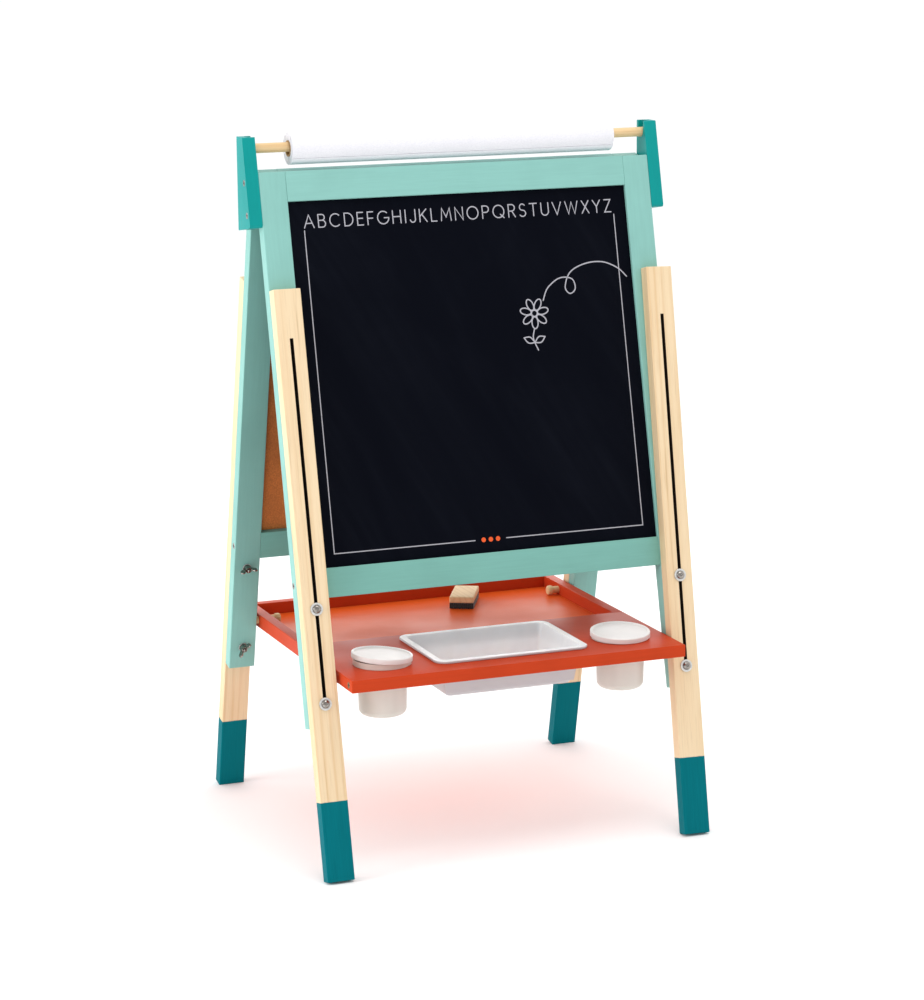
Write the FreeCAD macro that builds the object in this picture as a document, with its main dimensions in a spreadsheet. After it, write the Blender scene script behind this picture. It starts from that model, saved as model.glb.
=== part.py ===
"""Kids easel: two hinged frames with sliding legs, a hook-on tray, cups, a tub, an eraser and a paper roll.

Row frame: +Z up, the floor at Z = 0, X = 0 midway between the sides, Y = 0 midway between the two
frames, and the chalkboard side facing -Y. Lengths are millimetres.

A frame is drawn upright in its own axes: x across, y into the frame from its outer face, and z up,
with z = 0 at the top edge. LEAN_FRONT tips it onto the front of the easel, and LEAN_REAR is the same
frame turned half a turn about Z, so the rear frame's own left is the easel's right.
"""
import FreeCAD
import Part
import Sketcher
import math
import os

Vector = FreeCAD.Vector
Placement = FreeCAD.Placement
Rotation = FreeCAD.Rotation
X_AXIS = Vector(1, 0, 0)
Y_AXIS = Vector(0, 1, 0)
Z_AXIS = Vector(0, 0, 1)

doc = FreeCAD.newDocument("KidsEasel")
sheet = doc.addObject("Spreadsheet::Sheet", "Sizes")

SIZES = [
    # the A-frame
    ("lean", 13.2, "lean of each frame from upright, degrees"),
    ("top_gap", 2, "gap between the frames' inner top corners"),
    ("frame_top", 873.4, "height of the front frame's top front edge"),
    ("half_width", 270, "half of the frames' width"),
    ("stock", 18, "thickness of the frame and leg timber"),
    ("stile_width", 36, "width of a stile or leg"),
    ("stile_length", 705.5, "length of a stile"),
    ("top_rail", 38.5, "height of a top rail"),
    ("bottom_rail", 37.5, "height of a bottom rail"),
    ("bottom_rail_drop", 505, "frame top to the bottom rail's top edge"),
    ("edge_round", 1.2, "rounding of timber edges"),
    ("panel_thick", 4, "thickness of the board panels"),
    ("panel_setback", 5, "outer face to the panel's face"),
    ("groove_depth", 6, "depth of the groove that holds a panel"),
    ("groove_play", 0.2, "clearance of a panel in its groove"),
    # legs and their bolts
    ("leg_top", 150.5, "frame top to the leg's top end"),
    ("slot_top", 213.5, "frame top to the slot's top end"),
    ("slot_width", 4.1, "width of the leg's slot"),
    ("bolt_upper", 555, "frame top to the upper bolt"),
    ("bolt_spacing", 119.5, "distance between a leg's two bolts"),
    ("bolt_radius", 1.75, "radius of the bolt's shank"),
    ("leg_skew", 1.57, "right front leg out of line with its stile, degrees"),
    ("skew_drop", 3, "how much lower the right front leg's bolts sit"),
    ("foot_sink", 0.8, "how far the square foot end is eased by the floor"),
    ("slide_gap", 0.3, "gap between pieces that move past each other"),
    ("washer_radius", 8.2, "big washer on the leg"),
    ("washer_thick", 1.4, "thickness of the big washer"),
    ("nut_washer_radius", 6, "small washer under the wing nut"),
    ("nut_washer_thick", 1, "thickness of the small washer"),
    ("bolt_head_radius", 5, "radius of the bolt's head"),
    ("bolt_head_height", 3, "height of the bolt's head"),
    ("bolt_tail", 12.5, "bolt beyond the stile's inner face"),
    ("fit", 0.08, "radial clearance of a running fit"),
    # wing nuts
    ("nut_base", 5, "radius of the nut's hub at its base"),
    ("nut_nose", 3.8, "radius of the nut's hub at its nose"),
    ("nut_height", 7.5, "height of the hub"),
    ("wing_thick", 2, "thickness of a wing"),
    # hinges between the top rails
    ("hinge_offset", 140, "middle of the easel to the middle of a hinge"),
    ("hinge_drop", 12, "frame top to the hinge axis"),
    ("hinge_width", 50, "width of a hinge leaf"),
    ("hinge_leaf", 19, "height of a hinge leaf on the rail"),
    ("hinge_thick", 1.6, "thickness of a hinge leaf"),
    ("hinge_neck", 3.5, "hinge axis to the leaf's top edge"),
    ("knuckle_radius", 2.6, "outer radius of the knuckles"),
    ("knuckle_width", 15, "width of an outer knuckle"),
    ("hinge_pin", 1.3, "radius of the hinge pin"),
    # screws and dowels in the rail joints
    ("screw_radius", 2, "radius of a wood screw's shank"),
    ("screw_head", 4.2, "radius of a wood screw's head"),
    ("screw_head_depth", 2.6, "depth of a countersunk head"),
    ("rail_screw", 60, "length of a rail screw"),
    ("rail_dowel_radius", 3, "radius of a glued dowel"),
    ("rail_dowel", 36, "length of a glued dowel"),
    ("rail_dowel_offset", 9, "glued dowel to the rail's middle"),
    ("joint_depth", 11.5, "outer face to the rail joints' screws and dowels"),
    ("hinge_screw", 12, "length of a hinge screw"),
    # brackets, dowel and roll
    ("bracket_thick", 17, "thickness of a bracket"),
    ("bracket_top", 917, "height of a bracket's top"),
    ("bracket_back", 15, "Y of a bracket's upright rear edge"),
    ("bracket_drop", 70, "frame top to a bracket's lower end"),
    ("bracket_rise", 3.8, "how far the lower end's rear corner sits above square"),
    ("bracket_screw_upper", 11.5, "frame top to the upper bracket screw"),
    ("bracket_screw_lower", 53, "frame top to the lower bracket screw"),
    ("bracket_screw", 32, "length of a bracket screw"),
    ("dowel_radius", 6.25, "radius of the roll dowel"),
    ("dowel_y", 2, "Y of the roll dowel"),
    ("dowel_height", 902, "height of the roll dowel"),
    ("dowel_slot", 15, "width of the slot in a bracket"),
    ("dowel_slot_depth", 9, "depth of the slot in a bracket"),
    ("core_inner", 8.5, "inner radius of the roll's core"),
    ("core_outer", 10.3, "outer radius of the roll's core"),
    ("roll_radius", 20.8, "radius of the paper roll"),
    ("roll_length", 445, "width of the paper"),
    # tray
    ("tray_top", 257.3, "height of the tray's top"),
    ("tray_half", 229.5, "half of the tray's width"),
    ("tray_front", 229.2, "middle of the easel to the tray's front edge"),
    ("tray_back", 221.7, "middle of the easel to the tray's rear edge"),
    ("tray_board", 16, "thickness of the tray's front board"),
    ("tray_board_back", 31.8, "middle of the easel to the front board's rear edge"),
    ("tray_rail_height", 18.9, "height of the tray's rails"),
    ("tray_rail", 14.6, "thickness of the tray's rails"),
    ("tray_floor", 2.9, "thickness of the tray's floor"),
    ("tray_rebate", 7.6, "width of the rebate that holds the floor"),
    ("tray_floor_lap", 15, "floor under the front board"),
    ("tray_edge", 1, "rounding of the tray's edges"),
    # pegs
    ("peg_radius", 5, "radius of the tray's pegs"),
    ("peg_head", 6.6, "radius of a rear peg's head"),
    ("peg_head_length", 8, "length of a rear peg's head"),
    ("rear_peg_height", 248.5, "height of the rear pegs"),
    ("rear_peg_inner", 198, "middle of the easel to a rear peg's inner end"),
    ("peg_embed", 22, "length of a peg inside its stile"),
    ("rest_peg_height", 242, "height of the front rest pegs"),
    ("rest_peg_reach", 14, "length of a rest peg outside its stile"),
    ("notch_length", 44, "length of the notch over a rest peg"),
    ("tray_screw", 36, "length of a tray screw"),
    ("floor_screw", 12, "length of a screw in the tray's floor"),
    # cups, lids, tub and eraser
    ("cup_x", 166, "half of the distance between the cups' axes"),
    ("cup_shift", 1.25, "how far both cups sit towards the easel's right"),
    ("cup_y", 160.5, "middle of the easel to the cups' axes"),
    ("cup_hole", 32.7, "radius of a cup's hole in the tray"),
    ("cup_neck", 32, "radius of a cup below its flange"),
    ("cup_foot", 30.8, "radius of a cup at its foot"),
    ("cup_flange", 37.4, "radius of a cup's collar"),
    ("collar_left", 7.6, "height of the left cup's collar"),
    ("collar_right", 3.4, "height of the right cup's collar"),
    ("collar_wall", 2, "wall of a cup's collar"),
    ("cup_depth", 65.5, "tray top to a cup's foot"),
    ("cup_wall", 1.6, "wall of a cup"),
    ("cup_corner", 8, "rounding of a cup's foot"),
    ("lid_radius", 39.4, "radius of a cup's lid"),
    ("lid_skirt", 4.2, "tray top to the lower edge of the lid's skirt"),
    ("lid_under", 8.2, "tray top to the underside of the lid's plate"),
    ("lid_plate", 1.2, "thickness of the lid's plate"),
    ("lid_top", 10.8, "tray top to the lid's rim"),
    ("lid_tilt_left", 4.8, "tilt of the left lid, its left side up, degrees"),
    ("lid_tilt_right", 4, "tilt of the right lid, its back up, degrees"),
    ("lid_drop_right", 3.4, "how much lower the right lid sits"),
    ("tub_half_width", 106, "half of the tub's width over its rim"),
    ("tub_half_depth", 77, "half of the tub's depth over its rim"),
    ("tub_x", 3, "X of the tub's middle"),
    ("tub_y", 121.5, "middle of the easel to the tub's middle"),
    ("tub_rim", 7, "width of the tub's rim"),
    ("tub_rim_thick", 3, "thickness of the tub's rim"),
    ("tub_height", 48, "tray top to the tub's foot"),
    ("tub_wall", 2, "wall of the tub"),
    ("tub_corner", 16, "corner radius of the tub's rim"),
    ("tub_taper", 12, "taper of the tub's walls, degrees"),
    ("tub_bevel", 4, "height of the bevel round the tub's foot"),
    ("eraser_length", 70, "length of the eraser"),
    ("eraser_width", 34, "width of the eraser"),
    ("eraser_wood", 9, "height of the eraser's wooden block"),
    ("eraser_felt", 8, "height of the eraser's felt"),
    ("eraser_x", 74, "X of the eraser's middle"),
    ("eraser_y", 160, "Y of the eraser's middle"),
    ("eraser_turn", 62, "turn of the eraser's length from +X, degrees"),
]

for row, (alias, number, meaning) in enumerate(SIZES, start=1):
    sheet.set(f"A{row}", meaning)
    sheet.set(f"B{row}", str(number))
    sheet.setAlias(f"B{row}", alias)
doc.recompute()

size = {alias: number for alias, number, meaning in SIZES}
SIN = math.sin(math.radians(size["lean"]))
COS = math.cos(math.radians(size["lean"]))
MID_STOCK = "Sizes.stock / 2"
STILE_X = "(Sizes.half_width - Sizes.stile_width)"

LEAN_FRONT = Placement(
    Vector(0, -size["top_gap"] / 2 - size["stock"] * COS, size["frame_top"]),
    Rotation(X_AXIS, -size["lean"]),
)
LEAN_REAR = Placement(Vector(), Rotation(Z_AXIS, 180)) * LEAN_FRONT
LEAN = {"front": LEAN_FRONT, "rear": LEAN_REAR}
# The easel's side that a frame's own left (-1) and right (+1) lie on.
SIDE_NAME = {"front": {-1: "left", 1: "right"}, "rear": {-1: "right", 1: "left"}}

# How far down its stile a tray peg sits, and the peg's Y.
PEG_DROP = {
    frame: (size["frame_top"] - size[height] - size["stock"] / 2 * SIN) / COS
    for frame, height in (("front", "rest_peg_height"), ("rear", "rear_peg_height"))
}
PEG_Y = {frame: LEAN[frame].multVec(Vector(0, size["stock"] / 2, -PEG_DROP[frame])).y for frame in LEAN}

parts = {}


# ---------------------------------------------------------------- helpers

def bind(item, **bindings):
    """Bind properties to expressions; x, y and z stand for the placement's base."""
    for name, expression in bindings.items():
        path = f"Placement.Base.{name}" if name in ("x", "y", "z") else name
        item.setExpression(path, expression)
    return item


def box(name, length, width, height, x="0", y="0", z="0"):
    """A box from its low corner."""
    item = doc.addObject("Part::Box", name)
    return bind(item, Length=length, Width=width, Height=height, x=x, y=y, z=z)


def rod(name, radius, length, axis, x="0", y="0", z="0"):
    """A cylinder that starts at a point and runs along an axis."""
    item = doc.addObject("Part::Cylinder", name)
    item.Placement = Placement(Vector(), Rotation(Z_AXIS, axis))
    return bind(item, Radius=radius, Height=length, x=x, y=y, z=z)


def eased(item, radius):
    """The same solid with every edge between two faces rounded."""
    doc.recompute()
    fillet = doc.addObject("Part::Fillet", item.Name + "_eased")
    fillet.Base = item
    fillet.Edges = [
        (number, radius, radius)
        for number, edge in enumerate(item.Shape.Edges, start=1)
        if len(item.Shape.ancestorsOfType(edge, Part.Face)) == 2
    ]
    return fillet


def fused(name, items):
    item = doc.addObject("Part::MultiFuse", name)
    item.Shapes = items
    item.Refine = True
    return item


def cut(name, base, tools):
    """Base less every tool."""
    tool = tools[0] if len(tools) == 1 else fused(name + "_tools", tools)
    item = doc.addObject("Part::Cut", name)
    item.Base = base
    item.Tool = tool
    return item


def copy_of(form, name, placement):
    """A placed copy of a shared form."""
    item = doc.addObject("Part::Compound", name)
    item.Links = [form]
    item.Placement = placement
    return item


def sub_part(label, item, placement=Placement()):
    """Name a finished piece and put it in its place on the easel."""
    item.Label = label
    item.Placement = placement * item.Placement
    parts[label] = item
    return item


def group(label, items):
    """Identical fasteners, kept as separate solids in one sub-part."""
    item = doc.addObject("Part::Compound", label + "_group")
    item.Links = items
    return sub_part(label, item)


def rounded_outline(points, radii):
    """Line and arc geometry of a closed polygon with rounded corners."""
    corners = []
    count = len(points)
    for index, point in enumerate(points):
        before = (points[index - 1] - point).normalize()
        after = (points[(index + 1) % count] - point).normalize()
        half_turn = before.getAngle(after) / 2
        reach = radii[index] / math.tan(half_turn)
        middle = point + (before + after).normalize() * (radii[index] / math.sin(half_turn) - radii[index])
        corners.append((point + before * reach, middle, point + after * reach))
    edges = []
    for index, (start, middle, end) in enumerate(corners):
        edges.append(Part.Arc(start, middle, end))
        edges.append(Part.LineSegment(end, corners[(index + 1) % count][0]))
    return edges


def face_sketch(name, geometry, placement=Placement()):
    """A sketch that holds one closed outline."""
    item = doc.addObject("Sketcher::SketchObject", name)
    item.addGeometry(geometry, False)
    item.Placement = placement
    return item


def extruded(name, sketch, direction, length, taper=None):
    """A sketch pulled along a direction."""
    item = doc.addObject("Part::Extrusion", name)
    item.Base = sketch
    item.DirMode = "Custom"
    item.Dir = direction
    item.Solid = True
    bind(item, LengthFwd=length)
    if taper:
        bind(item, TaperAngle=taper)
    return item


def body_sketch(body, plane, geometry, name):
    """A sketch on one of a body's own origin planes."""
    item = body.newObject("Sketcher::SketchObject", name)
    origin_plane = next(feature for feature in body.Origin.OriginFeatures if feature.Role == plane)
    item.AttachmentSupport = [(origin_plane, "")]
    item.MapMode = "FlatFace"
    item.addGeometry(geometry, False)
    return item


def revolved(name, geometry):
    """A body turned from a half section about its own Z axis."""
    body = doc.addObject("PartDesign::Body", name)
    sketch = body_sketch(body, "XZ_Plane", geometry, name + "_section")
    feature = body.newObject("PartDesign::Revolution", name + "_turned")
    feature.Profile = sketch
    feature.ReferenceAxis = (sketch, ["V_Axis"])
    feature.Angle = 360
    return body


# ---------------------------------------------------------------- fasteners

def cross_recess(name, width, depth, top):
    """The two crossing blades of a cross-head recess, cut down from a height."""
    reach = f"({width})"
    blade = f"({width}) / 5"
    across = box(name + "_across", reach, blade, depth, f"-{reach} / 2", f"-{blade} / 2", f"{top} - {depth}")
    along = box(name + "_along", blade, reach, depth, f"-{blade} / 2", f"-{reach} / 2", f"{top} - {depth}")
    return [across, along]


def screw_form(name, length):
    """A countersunk wood screw, head up at z = 0 and shank down."""
    head = doc.addObject("Part::Cone", name + "_head")
    bind(head, Radius1="Sizes.screw_radius", Radius2="Sizes.screw_head", Height="Sizes.screw_head_depth",
         z="-Sizes.screw_head_depth")
    shank = rod(name + "_shank", "Sizes.screw_radius", f"{length} - 6", -Z_AXIS,
                z="-Sizes.screw_head_depth + 0.5")
    tip = doc.addObject("Part::Cone", name + "_tip")
    bind(tip, Radius1="0.3", Radius2="Sizes.screw_radius", Height="4", z=f"-{length}")
    body = fused(name + "_body", [head, shank, tip])
    return cut(name, body, cross_recess(name + "_recess", "Sizes.screw_head * 1.2", "1.6", "0"))


def screw_hole(name, length, placement):
    """The countersunk hole that a screw form sits in."""
    play = 0.05
    head = doc.addObject("Part::Cone", name + "_mouth")
    bind(head, Radius1=f"Sizes.screw_radius + {play}", Radius2=f"Sizes.screw_head + {play}",
         Height="Sizes.screw_head_depth", z="-Sizes.screw_head_depth")
    mouth = rod(name + "_relief", f"Sizes.screw_head + {play}", "1", Z_AXIS, z="0")
    shank = rod(name + "_bore", f"Sizes.screw_radius + {play}", f"{length} + 0.5", -Z_AXIS)
    hole = fused(name, [head, mouth, shank])
    hole.Placement = placement
    return hole


def bolt_form():
    """A pan-head bolt: head seat at z = 0, head up, shank down through leg and stile."""
    radius = size["bolt_head_radius"]
    height = size["bolt_head_height"]
    shank = size["bolt_radius"]
    length = size["washer_thick"] + 2 * size["slide_gap"] + 2 * size["stock"] + size["bolt_tail"]
    section = [
        Part.LineSegment(Vector(0, -length, 0), Vector(shank - 0.5, -length, 0)),
        Part.LineSegment(Vector(shank - 0.5, -length, 0), Vector(shank, -length + 0.5, 0)),
        Part.LineSegment(Vector(shank, -length + 0.5, 0), Vector(shank, 0, 0)),
        Part.LineSegment(Vector(shank, 0, 0), Vector(radius, 0, 0)),
        Part.LineSegment(Vector(radius, 0, 0), Vector(radius, height * 0.4, 0)),
        Part.Arc(Vector(radius, height * 0.4, 0), Vector(radius * 0.72, height * 0.87, 0),
                 Vector(0, height, 0)),
        Part.LineSegment(Vector(0, height, 0), Vector(0, -length, 0)),
    ]
    blank = revolved("bolt_blank", section)
    return cut("bolt_form", blank, cross_recess("bolt_recess", "5.2", "1.9", "Sizes.bolt_head_height"))


def washer_form(name, radius, thick):
    """A flat washer, its lower face at z = 0."""
    disc = rod(name + "_disc", radius, thick, Z_AXIS)
    hole = rod(name + "_hole", "Sizes.bolt_radius + 0.15", f"{thick} + 2", Z_AXIS, z="-1")
    return cut(name, eased(disc, 0.3), [hole])


def wing_nut_form():
    """A wing nut: seat at z = 0, wings up and outwards along x."""
    hub = doc.addObject("Part::Cone", "nut_hub")
    bind(hub, Radius1="Sizes.nut_base", Radius2="Sizes.nut_nose", Height="Sizes.nut_height")
    wing = [Vector(2, 1), Vector(5.5, 1.2), Vector(11.6, 6), Vector(11.6, 12.6), Vector(7.2, 12.6),
            Vector(2, 6.5)]
    radii = [1, 2.5, 3, 2.1, 2.1, 1]
    wings = []
    for side in (-1, 1):
        points = [Vector(side * point.x, point.y, 0) for point in wing]
        upright = Placement(Vector(0, size["wing_thick"] / 2, 0), Rotation(X_AXIS, 90))
        sketch = face_sketch(f"wing_outline_{side + 1}", rounded_outline(points, radii), upright)
        pull = extruded(f"wing_{side + 1}", sketch, -Y_AXIS, "Sizes.wing_thick")
        wings.append(eased(pull, 0.6))
    bore = rod("nut_bore", "Sizes.bolt_radius + Sizes.fit", "30", Z_AXIS, z="-5")
    return cut("wing_nut_form", fused("nut_body", [hub] + wings), [bore])


BOLT = bolt_form()
BIG_WASHER = washer_form("big_washer_form", "Sizes.washer_radius", "Sizes.washer_thick")
NUT_WASHER = washer_form("nut_washer_form", "Sizes.nut_washer_radius", "Sizes.nut_washer_thick")
WING_NUT = wing_nut_form()
RAIL_SCREW = screw_form("rail_screw_form", "Sizes.rail_screw")
BRACKET_SCREW = screw_form("bracket_screw_form", "Sizes.bracket_screw")
HINGE_SCREW = screw_form("hinge_screw_form", "Sizes.hinge_screw")
TRAY_SCREW = screw_form("tray_screw_form", "Sizes.tray_screw")
FLOOR_SCREW = screw_form("floor_screw_form", "Sizes.floor_screw")

OUTWARDS = Rotation(Z_AXIS, -Y_AXIS)
INWARDS = Rotation(Z_AXIS, Y_AXIS)
SIDEWAYS = {-1: Rotation(Z_AXIS, -X_AXIS), 1: Rotation(Z_AXIS, X_AXIS)}


# ---------------------------------------------------------------- frames

def out_of_line(frame, side):
    """Only the right front leg and its bolts are out of line."""
    return (frame, side) == ("front", 1)


def leg_axis(frame, side):
    """A leg's upper bolt and its direction, in the frame's own axes."""
    skew = size["leg_skew"] if out_of_line(frame, side) else 0
    drop = size["bolt_upper"] + (size["skew_drop"] if out_of_line(frame, side) else 0)
    centre = side * (size["half_width"] - size["stile_width"] / 2)
    return Placement(Vector(centre, 0, -drop), Rotation(Y_AXIS, skew))


def bolt_points(frame, side):
    """The leg's two bolts, on the frame's outer face."""
    axis = leg_axis(frame, side)
    return [axis.multVec(Vector()), axis.multVec(Vector(0, 0, -size["bolt_spacing"]))]


def rail_levels():
    """Middle heights of the two rails, and the rails' own heights."""
    top = -size["top_rail"] / 2
    bottom = -size["bottom_rail_drop"] - size["bottom_rail"] / 2
    return {"top": top, "bottom": bottom}


def joint_holes(name, side, level):
    """Screw and dowel holes of one rail joint, for cutting both its stile and its rail."""
    edge = Placement(Vector(side * size["half_width"], size["joint_depth"], level), SIDEWAYS[side])
    holes = [screw_hole(f"{name}_screw_hole", "Sizes.rail_screw", edge)]
    for step in (-1, 1):
        start = f"{side} * ({STILE_X} - Sizes.rail_dowel / 2 - 0.5)"
        holes.append(rod(f"{name}_dowel_hole_{step + 1}", "Sizes.rail_dowel_radius + 0.05",
                         "Sizes.rail_dowel + 1",
                         X_AXIS * side, start, "Sizes.joint_depth",
                         f"{level} + {step} * Sizes.rail_dowel_offset"))
    return holes


def stile(frame, side):
    """A stile: panel groove, bolt holes, rail joints and the holes for the tray's pegs."""
    name = f"{frame}_stile_{side + 1}"
    low_x = "-Sizes.half_width" if side < 0 else STILE_X
    blank = box(name + "_bar", "Sizes.stile_width", "Sizes.stock", "Sizes.stile_length", low_x, "0",
                "-Sizes.stile_length")
    groove_x = f"-{STILE_X} - Sizes.groove_depth" if side < 0 else f"{STILE_X} - 5"
    tools = [box(name + "_groove", "Sizes.groove_depth + 5", "Sizes.panel_thick + Sizes.groove_play",
                 "Sizes.bottom_rail_drop - Sizes.top_rail + 2 * Sizes.groove_depth", groove_x,
                 "Sizes.panel_setback - Sizes.groove_play / 2",
                 "-Sizes.bottom_rail_drop - Sizes.groove_depth")]
    for number, point in enumerate(bolt_points(frame, side)):
        tools.append(rod(f"{name}_bolt_hole_{number}", "Sizes.bolt_radius + 0.1", "Sizes.stock + 4", Y_AXIS,
                         f"{point.x}", "-2", f"{point.z}"))
    for rail, level in rail_levels().items():
        tools += joint_holes(f"{name}_{rail}", side, level)
    tools.append(rod(name + "_peg_hole", "Sizes.peg_radius + Sizes.fit", "Sizes.peg_embed + 5.5",
                     X_AXIS * side,
                     f"{side} * ({STILE_X} - 5)", MID_STOCK, f"-{PEG_DROP[frame]}"))
    if frame == "front":
        for drop in ("bracket_screw_upper", "bracket_screw_lower"):
            tools.append(rod(f"{name}_{drop}_hole", "Sizes.screw_radius + 0.05",
                             "Sizes.bracket_screw - Sizes.bracket_thick + 1.5", -X_AXIS * side,
                             f"{side} * (Sizes.half_width + 1)", MID_STOCK, f"-Sizes.{drop}"))
    item = cut(name, eased(blank, size["edge_round"]), tools)
    sub_part(f"{frame}_stile_{SIDE_NAME[frame][side]}", item, LEAN[frame])


def rail(frame, level):
    """A rail between the stiles: panel groove, joint holes and, at the top, the hinge screws' holes."""
    name = f"{frame}_{level}_rail"
    height = f"Sizes.{level}_rail"
    low = {"top": "-Sizes.top_rail", "bottom": "-Sizes.bottom_rail_drop - Sizes.bottom_rail"}[level]
    groove_z = {"top": "-Sizes.top_rail - 5",
                "bottom": "-Sizes.bottom_rail_drop - Sizes.groove_depth"}[level]
    blank = box(name + "_bar", f"2 * {STILE_X}", "Sizes.stock", height, f"-{STILE_X}", "0", low)
    tools = [box(name + "_groove", f"2 * {STILE_X} + 10", "Sizes.panel_thick + Sizes.groove_play",
                 "Sizes.groove_depth + 5", f"-{STILE_X} - 5", "Sizes.panel_setback - Sizes.groove_play / 2",
                 groove_z)]
    for side in (-1, 1):
        tools += joint_holes(f"{name}_{side + 1}", side, rail_levels()[level])
    if level == "top":
        for side in (-1, 1):
            for offset in (-1, 1):
                seat = Placement(hinge_screw_point(side, offset), INWARDS)
                tools.append(screw_hole(f"{name}_hinge_screw_hole_{side + 1}_{offset + 1}",
                                        "Sizes.hinge_screw", seat))
    item = cut(name, eased(blank, size["edge_round"] / 2), tools)
    sub_part(name, item, LEAN[frame])


def panel(frame, label):
    """A board panel, held in the grooves all round."""
    reach = f"({STILE_X} + Sizes.groove_depth - Sizes.groove_play)"
    low = "(-Sizes.bottom_rail_drop - Sizes.groove_depth + Sizes.groove_play)"
    high = "(-Sizes.top_rail + Sizes.groove_depth - Sizes.groove_play)"
    item = box(label + "_panel", f"2 * {reach}", "Sizes.panel_thick", f"{high} - {low}", f"-{reach}",
               "Sizes.panel_setback", low)
    sub_part(label, eased(item, 0.3), LEAN[frame])


def rail_fasteners(frame):
    """The screws and glued dowels of a frame's four rail joints."""
    screws = []
    dowels = []
    dowel = eased(rod(f"{frame}_rail_dowel_form", "Sizes.rail_dowel_radius", "Sizes.rail_dowel", X_AXIS,
                      "-Sizes.rail_dowel / 2"), 0.6)
    for side in (-1, 1):
        for rail_name, level in rail_levels().items():
            name = f"{frame}_{rail_name}_joint_{side + 1}"
            edge = Placement(Vector(side * size["half_width"], size["joint_depth"], level), SIDEWAYS[side])
            screws.append(copy_of(RAIL_SCREW, name + "_screw", LEAN[frame] * edge))
            for step in (-1, 1):
                spot = Vector(side * (size["half_width"] - size["stile_width"]), size["joint_depth"],
                              level + step * size["rail_dowel_offset"])
                dowels.append(copy_of(dowel, f"{name}_dowel_{step + 1}",
                                      LEAN[frame] * Placement(spot, Rotation())))
    group(f"{frame}_frame_screws", screws)
    group(f"{frame}_rail_dowels", dowels)


# ---------------------------------------------------------------- hinges

def hinge_axis():
    """The hinge axis in a frame's own axes, midway between the two frames."""
    y = size["stock"] + (size["top_gap"] / 2 + size["hinge_drop"] * SIN) / COS
    return Vector(0, y, -size["hinge_drop"])


def hinge_screw_point(side, offset):
    """One of a leaf's two screws, on the leaf's face."""
    drop = size["hinge_drop"] + size["hinge_neck"] + size["hinge_leaf"] / 2
    return Vector(side * size["hinge_offset"] + offset * 16, size["stock"] + size["hinge_thick"], -drop)


def hinge_leaves(frame):
    """Two leaves on a top rail: the front pair has the outer knuckles, the rear pair the middle one."""
    axis = hinge_axis()
    half = size["hinge_width"] / 2
    outer = size["knuckle_width"]
    play = size["slide_gap"]
    leaf_top = "-Sizes.hinge_drop - Sizes.hinge_neck"
    knuckles = {
        "front": [(-half, outer), (half - outer, outer)],
        "rear": [(-half + outer + play, 2 * half - 2 * outer - 2 * play)],
    }[frame]
    leaves = []
    screws = []
    for side in (-1, 1):
        name = f"{frame}_hinge_{side + 1}"
        middle = side * size["hinge_offset"]
        pieces = [box(name + "_leaf", "Sizes.hinge_width", "Sizes.hinge_thick", "Sizes.hinge_leaf",
                      f"{middle} - Sizes.hinge_width / 2", "Sizes.stock",
                      f"{leaf_top} - Sizes.hinge_leaf")]
        for number, (start, width) in enumerate(knuckles):
            pieces.append(box(f"{name}_neck_{number}", f"{width}", "Sizes.hinge_thick",
                              "Sizes.hinge_neck + 0.5", f"{middle + start}", "Sizes.stock",
                              f"{leaf_top} - 0.5"))
            pieces.append(rod(f"{name}_knuckle_{number}", "Sizes.knuckle_radius", f"{width}", X_AXIS,
                              f"{middle + start}", f"{axis.y}", f"{axis.z}"))
        tools = [rod(name + "_bore", "Sizes.hinge_pin + 0.05", "Sizes.hinge_width + 10", X_AXIS,
                     f"{middle - half - 5}", f"{axis.y}", f"{axis.z}")]
        for offset in (-1, 1):
            seat = Placement(hinge_screw_point(side, offset), INWARDS)
            tools.append(screw_hole(f"{name}_screw_hole_{offset + 1}", "Sizes.hinge_screw", seat))
            screws.append(copy_of(HINGE_SCREW, f"{name}_screw_{offset + 1}", LEAN[frame] * seat))
        leaf = cut(name, fused(name + "_blank", pieces), tools)
        leaf.Placement = LEAN[frame]
        leaves.append(leaf)
    group(f"hinge_{frame}_leaves", leaves)
    group(f"hinge_{frame}_screws", screws)


def hinge_pins():
    """The pins, held by the front leaves' outer knuckles."""
    axis = LEAN_FRONT.multVec(hinge_axis())
    pins = []
    for side in (-1, 1):
        start = f"{side} * Sizes.hinge_offset - Sizes.hinge_width / 2 - 1"
        pins.append(eased(rod(f"hinge_pin_{side + 1}", "Sizes.hinge_pin", "Sizes.hinge_width + 2", X_AXIS,
                              start,
                              f"{axis.y}", f"{axis.z}"), 0.4))
    group("hinge_pins", pins)


# ---------------------------------------------------------------- legs

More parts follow.
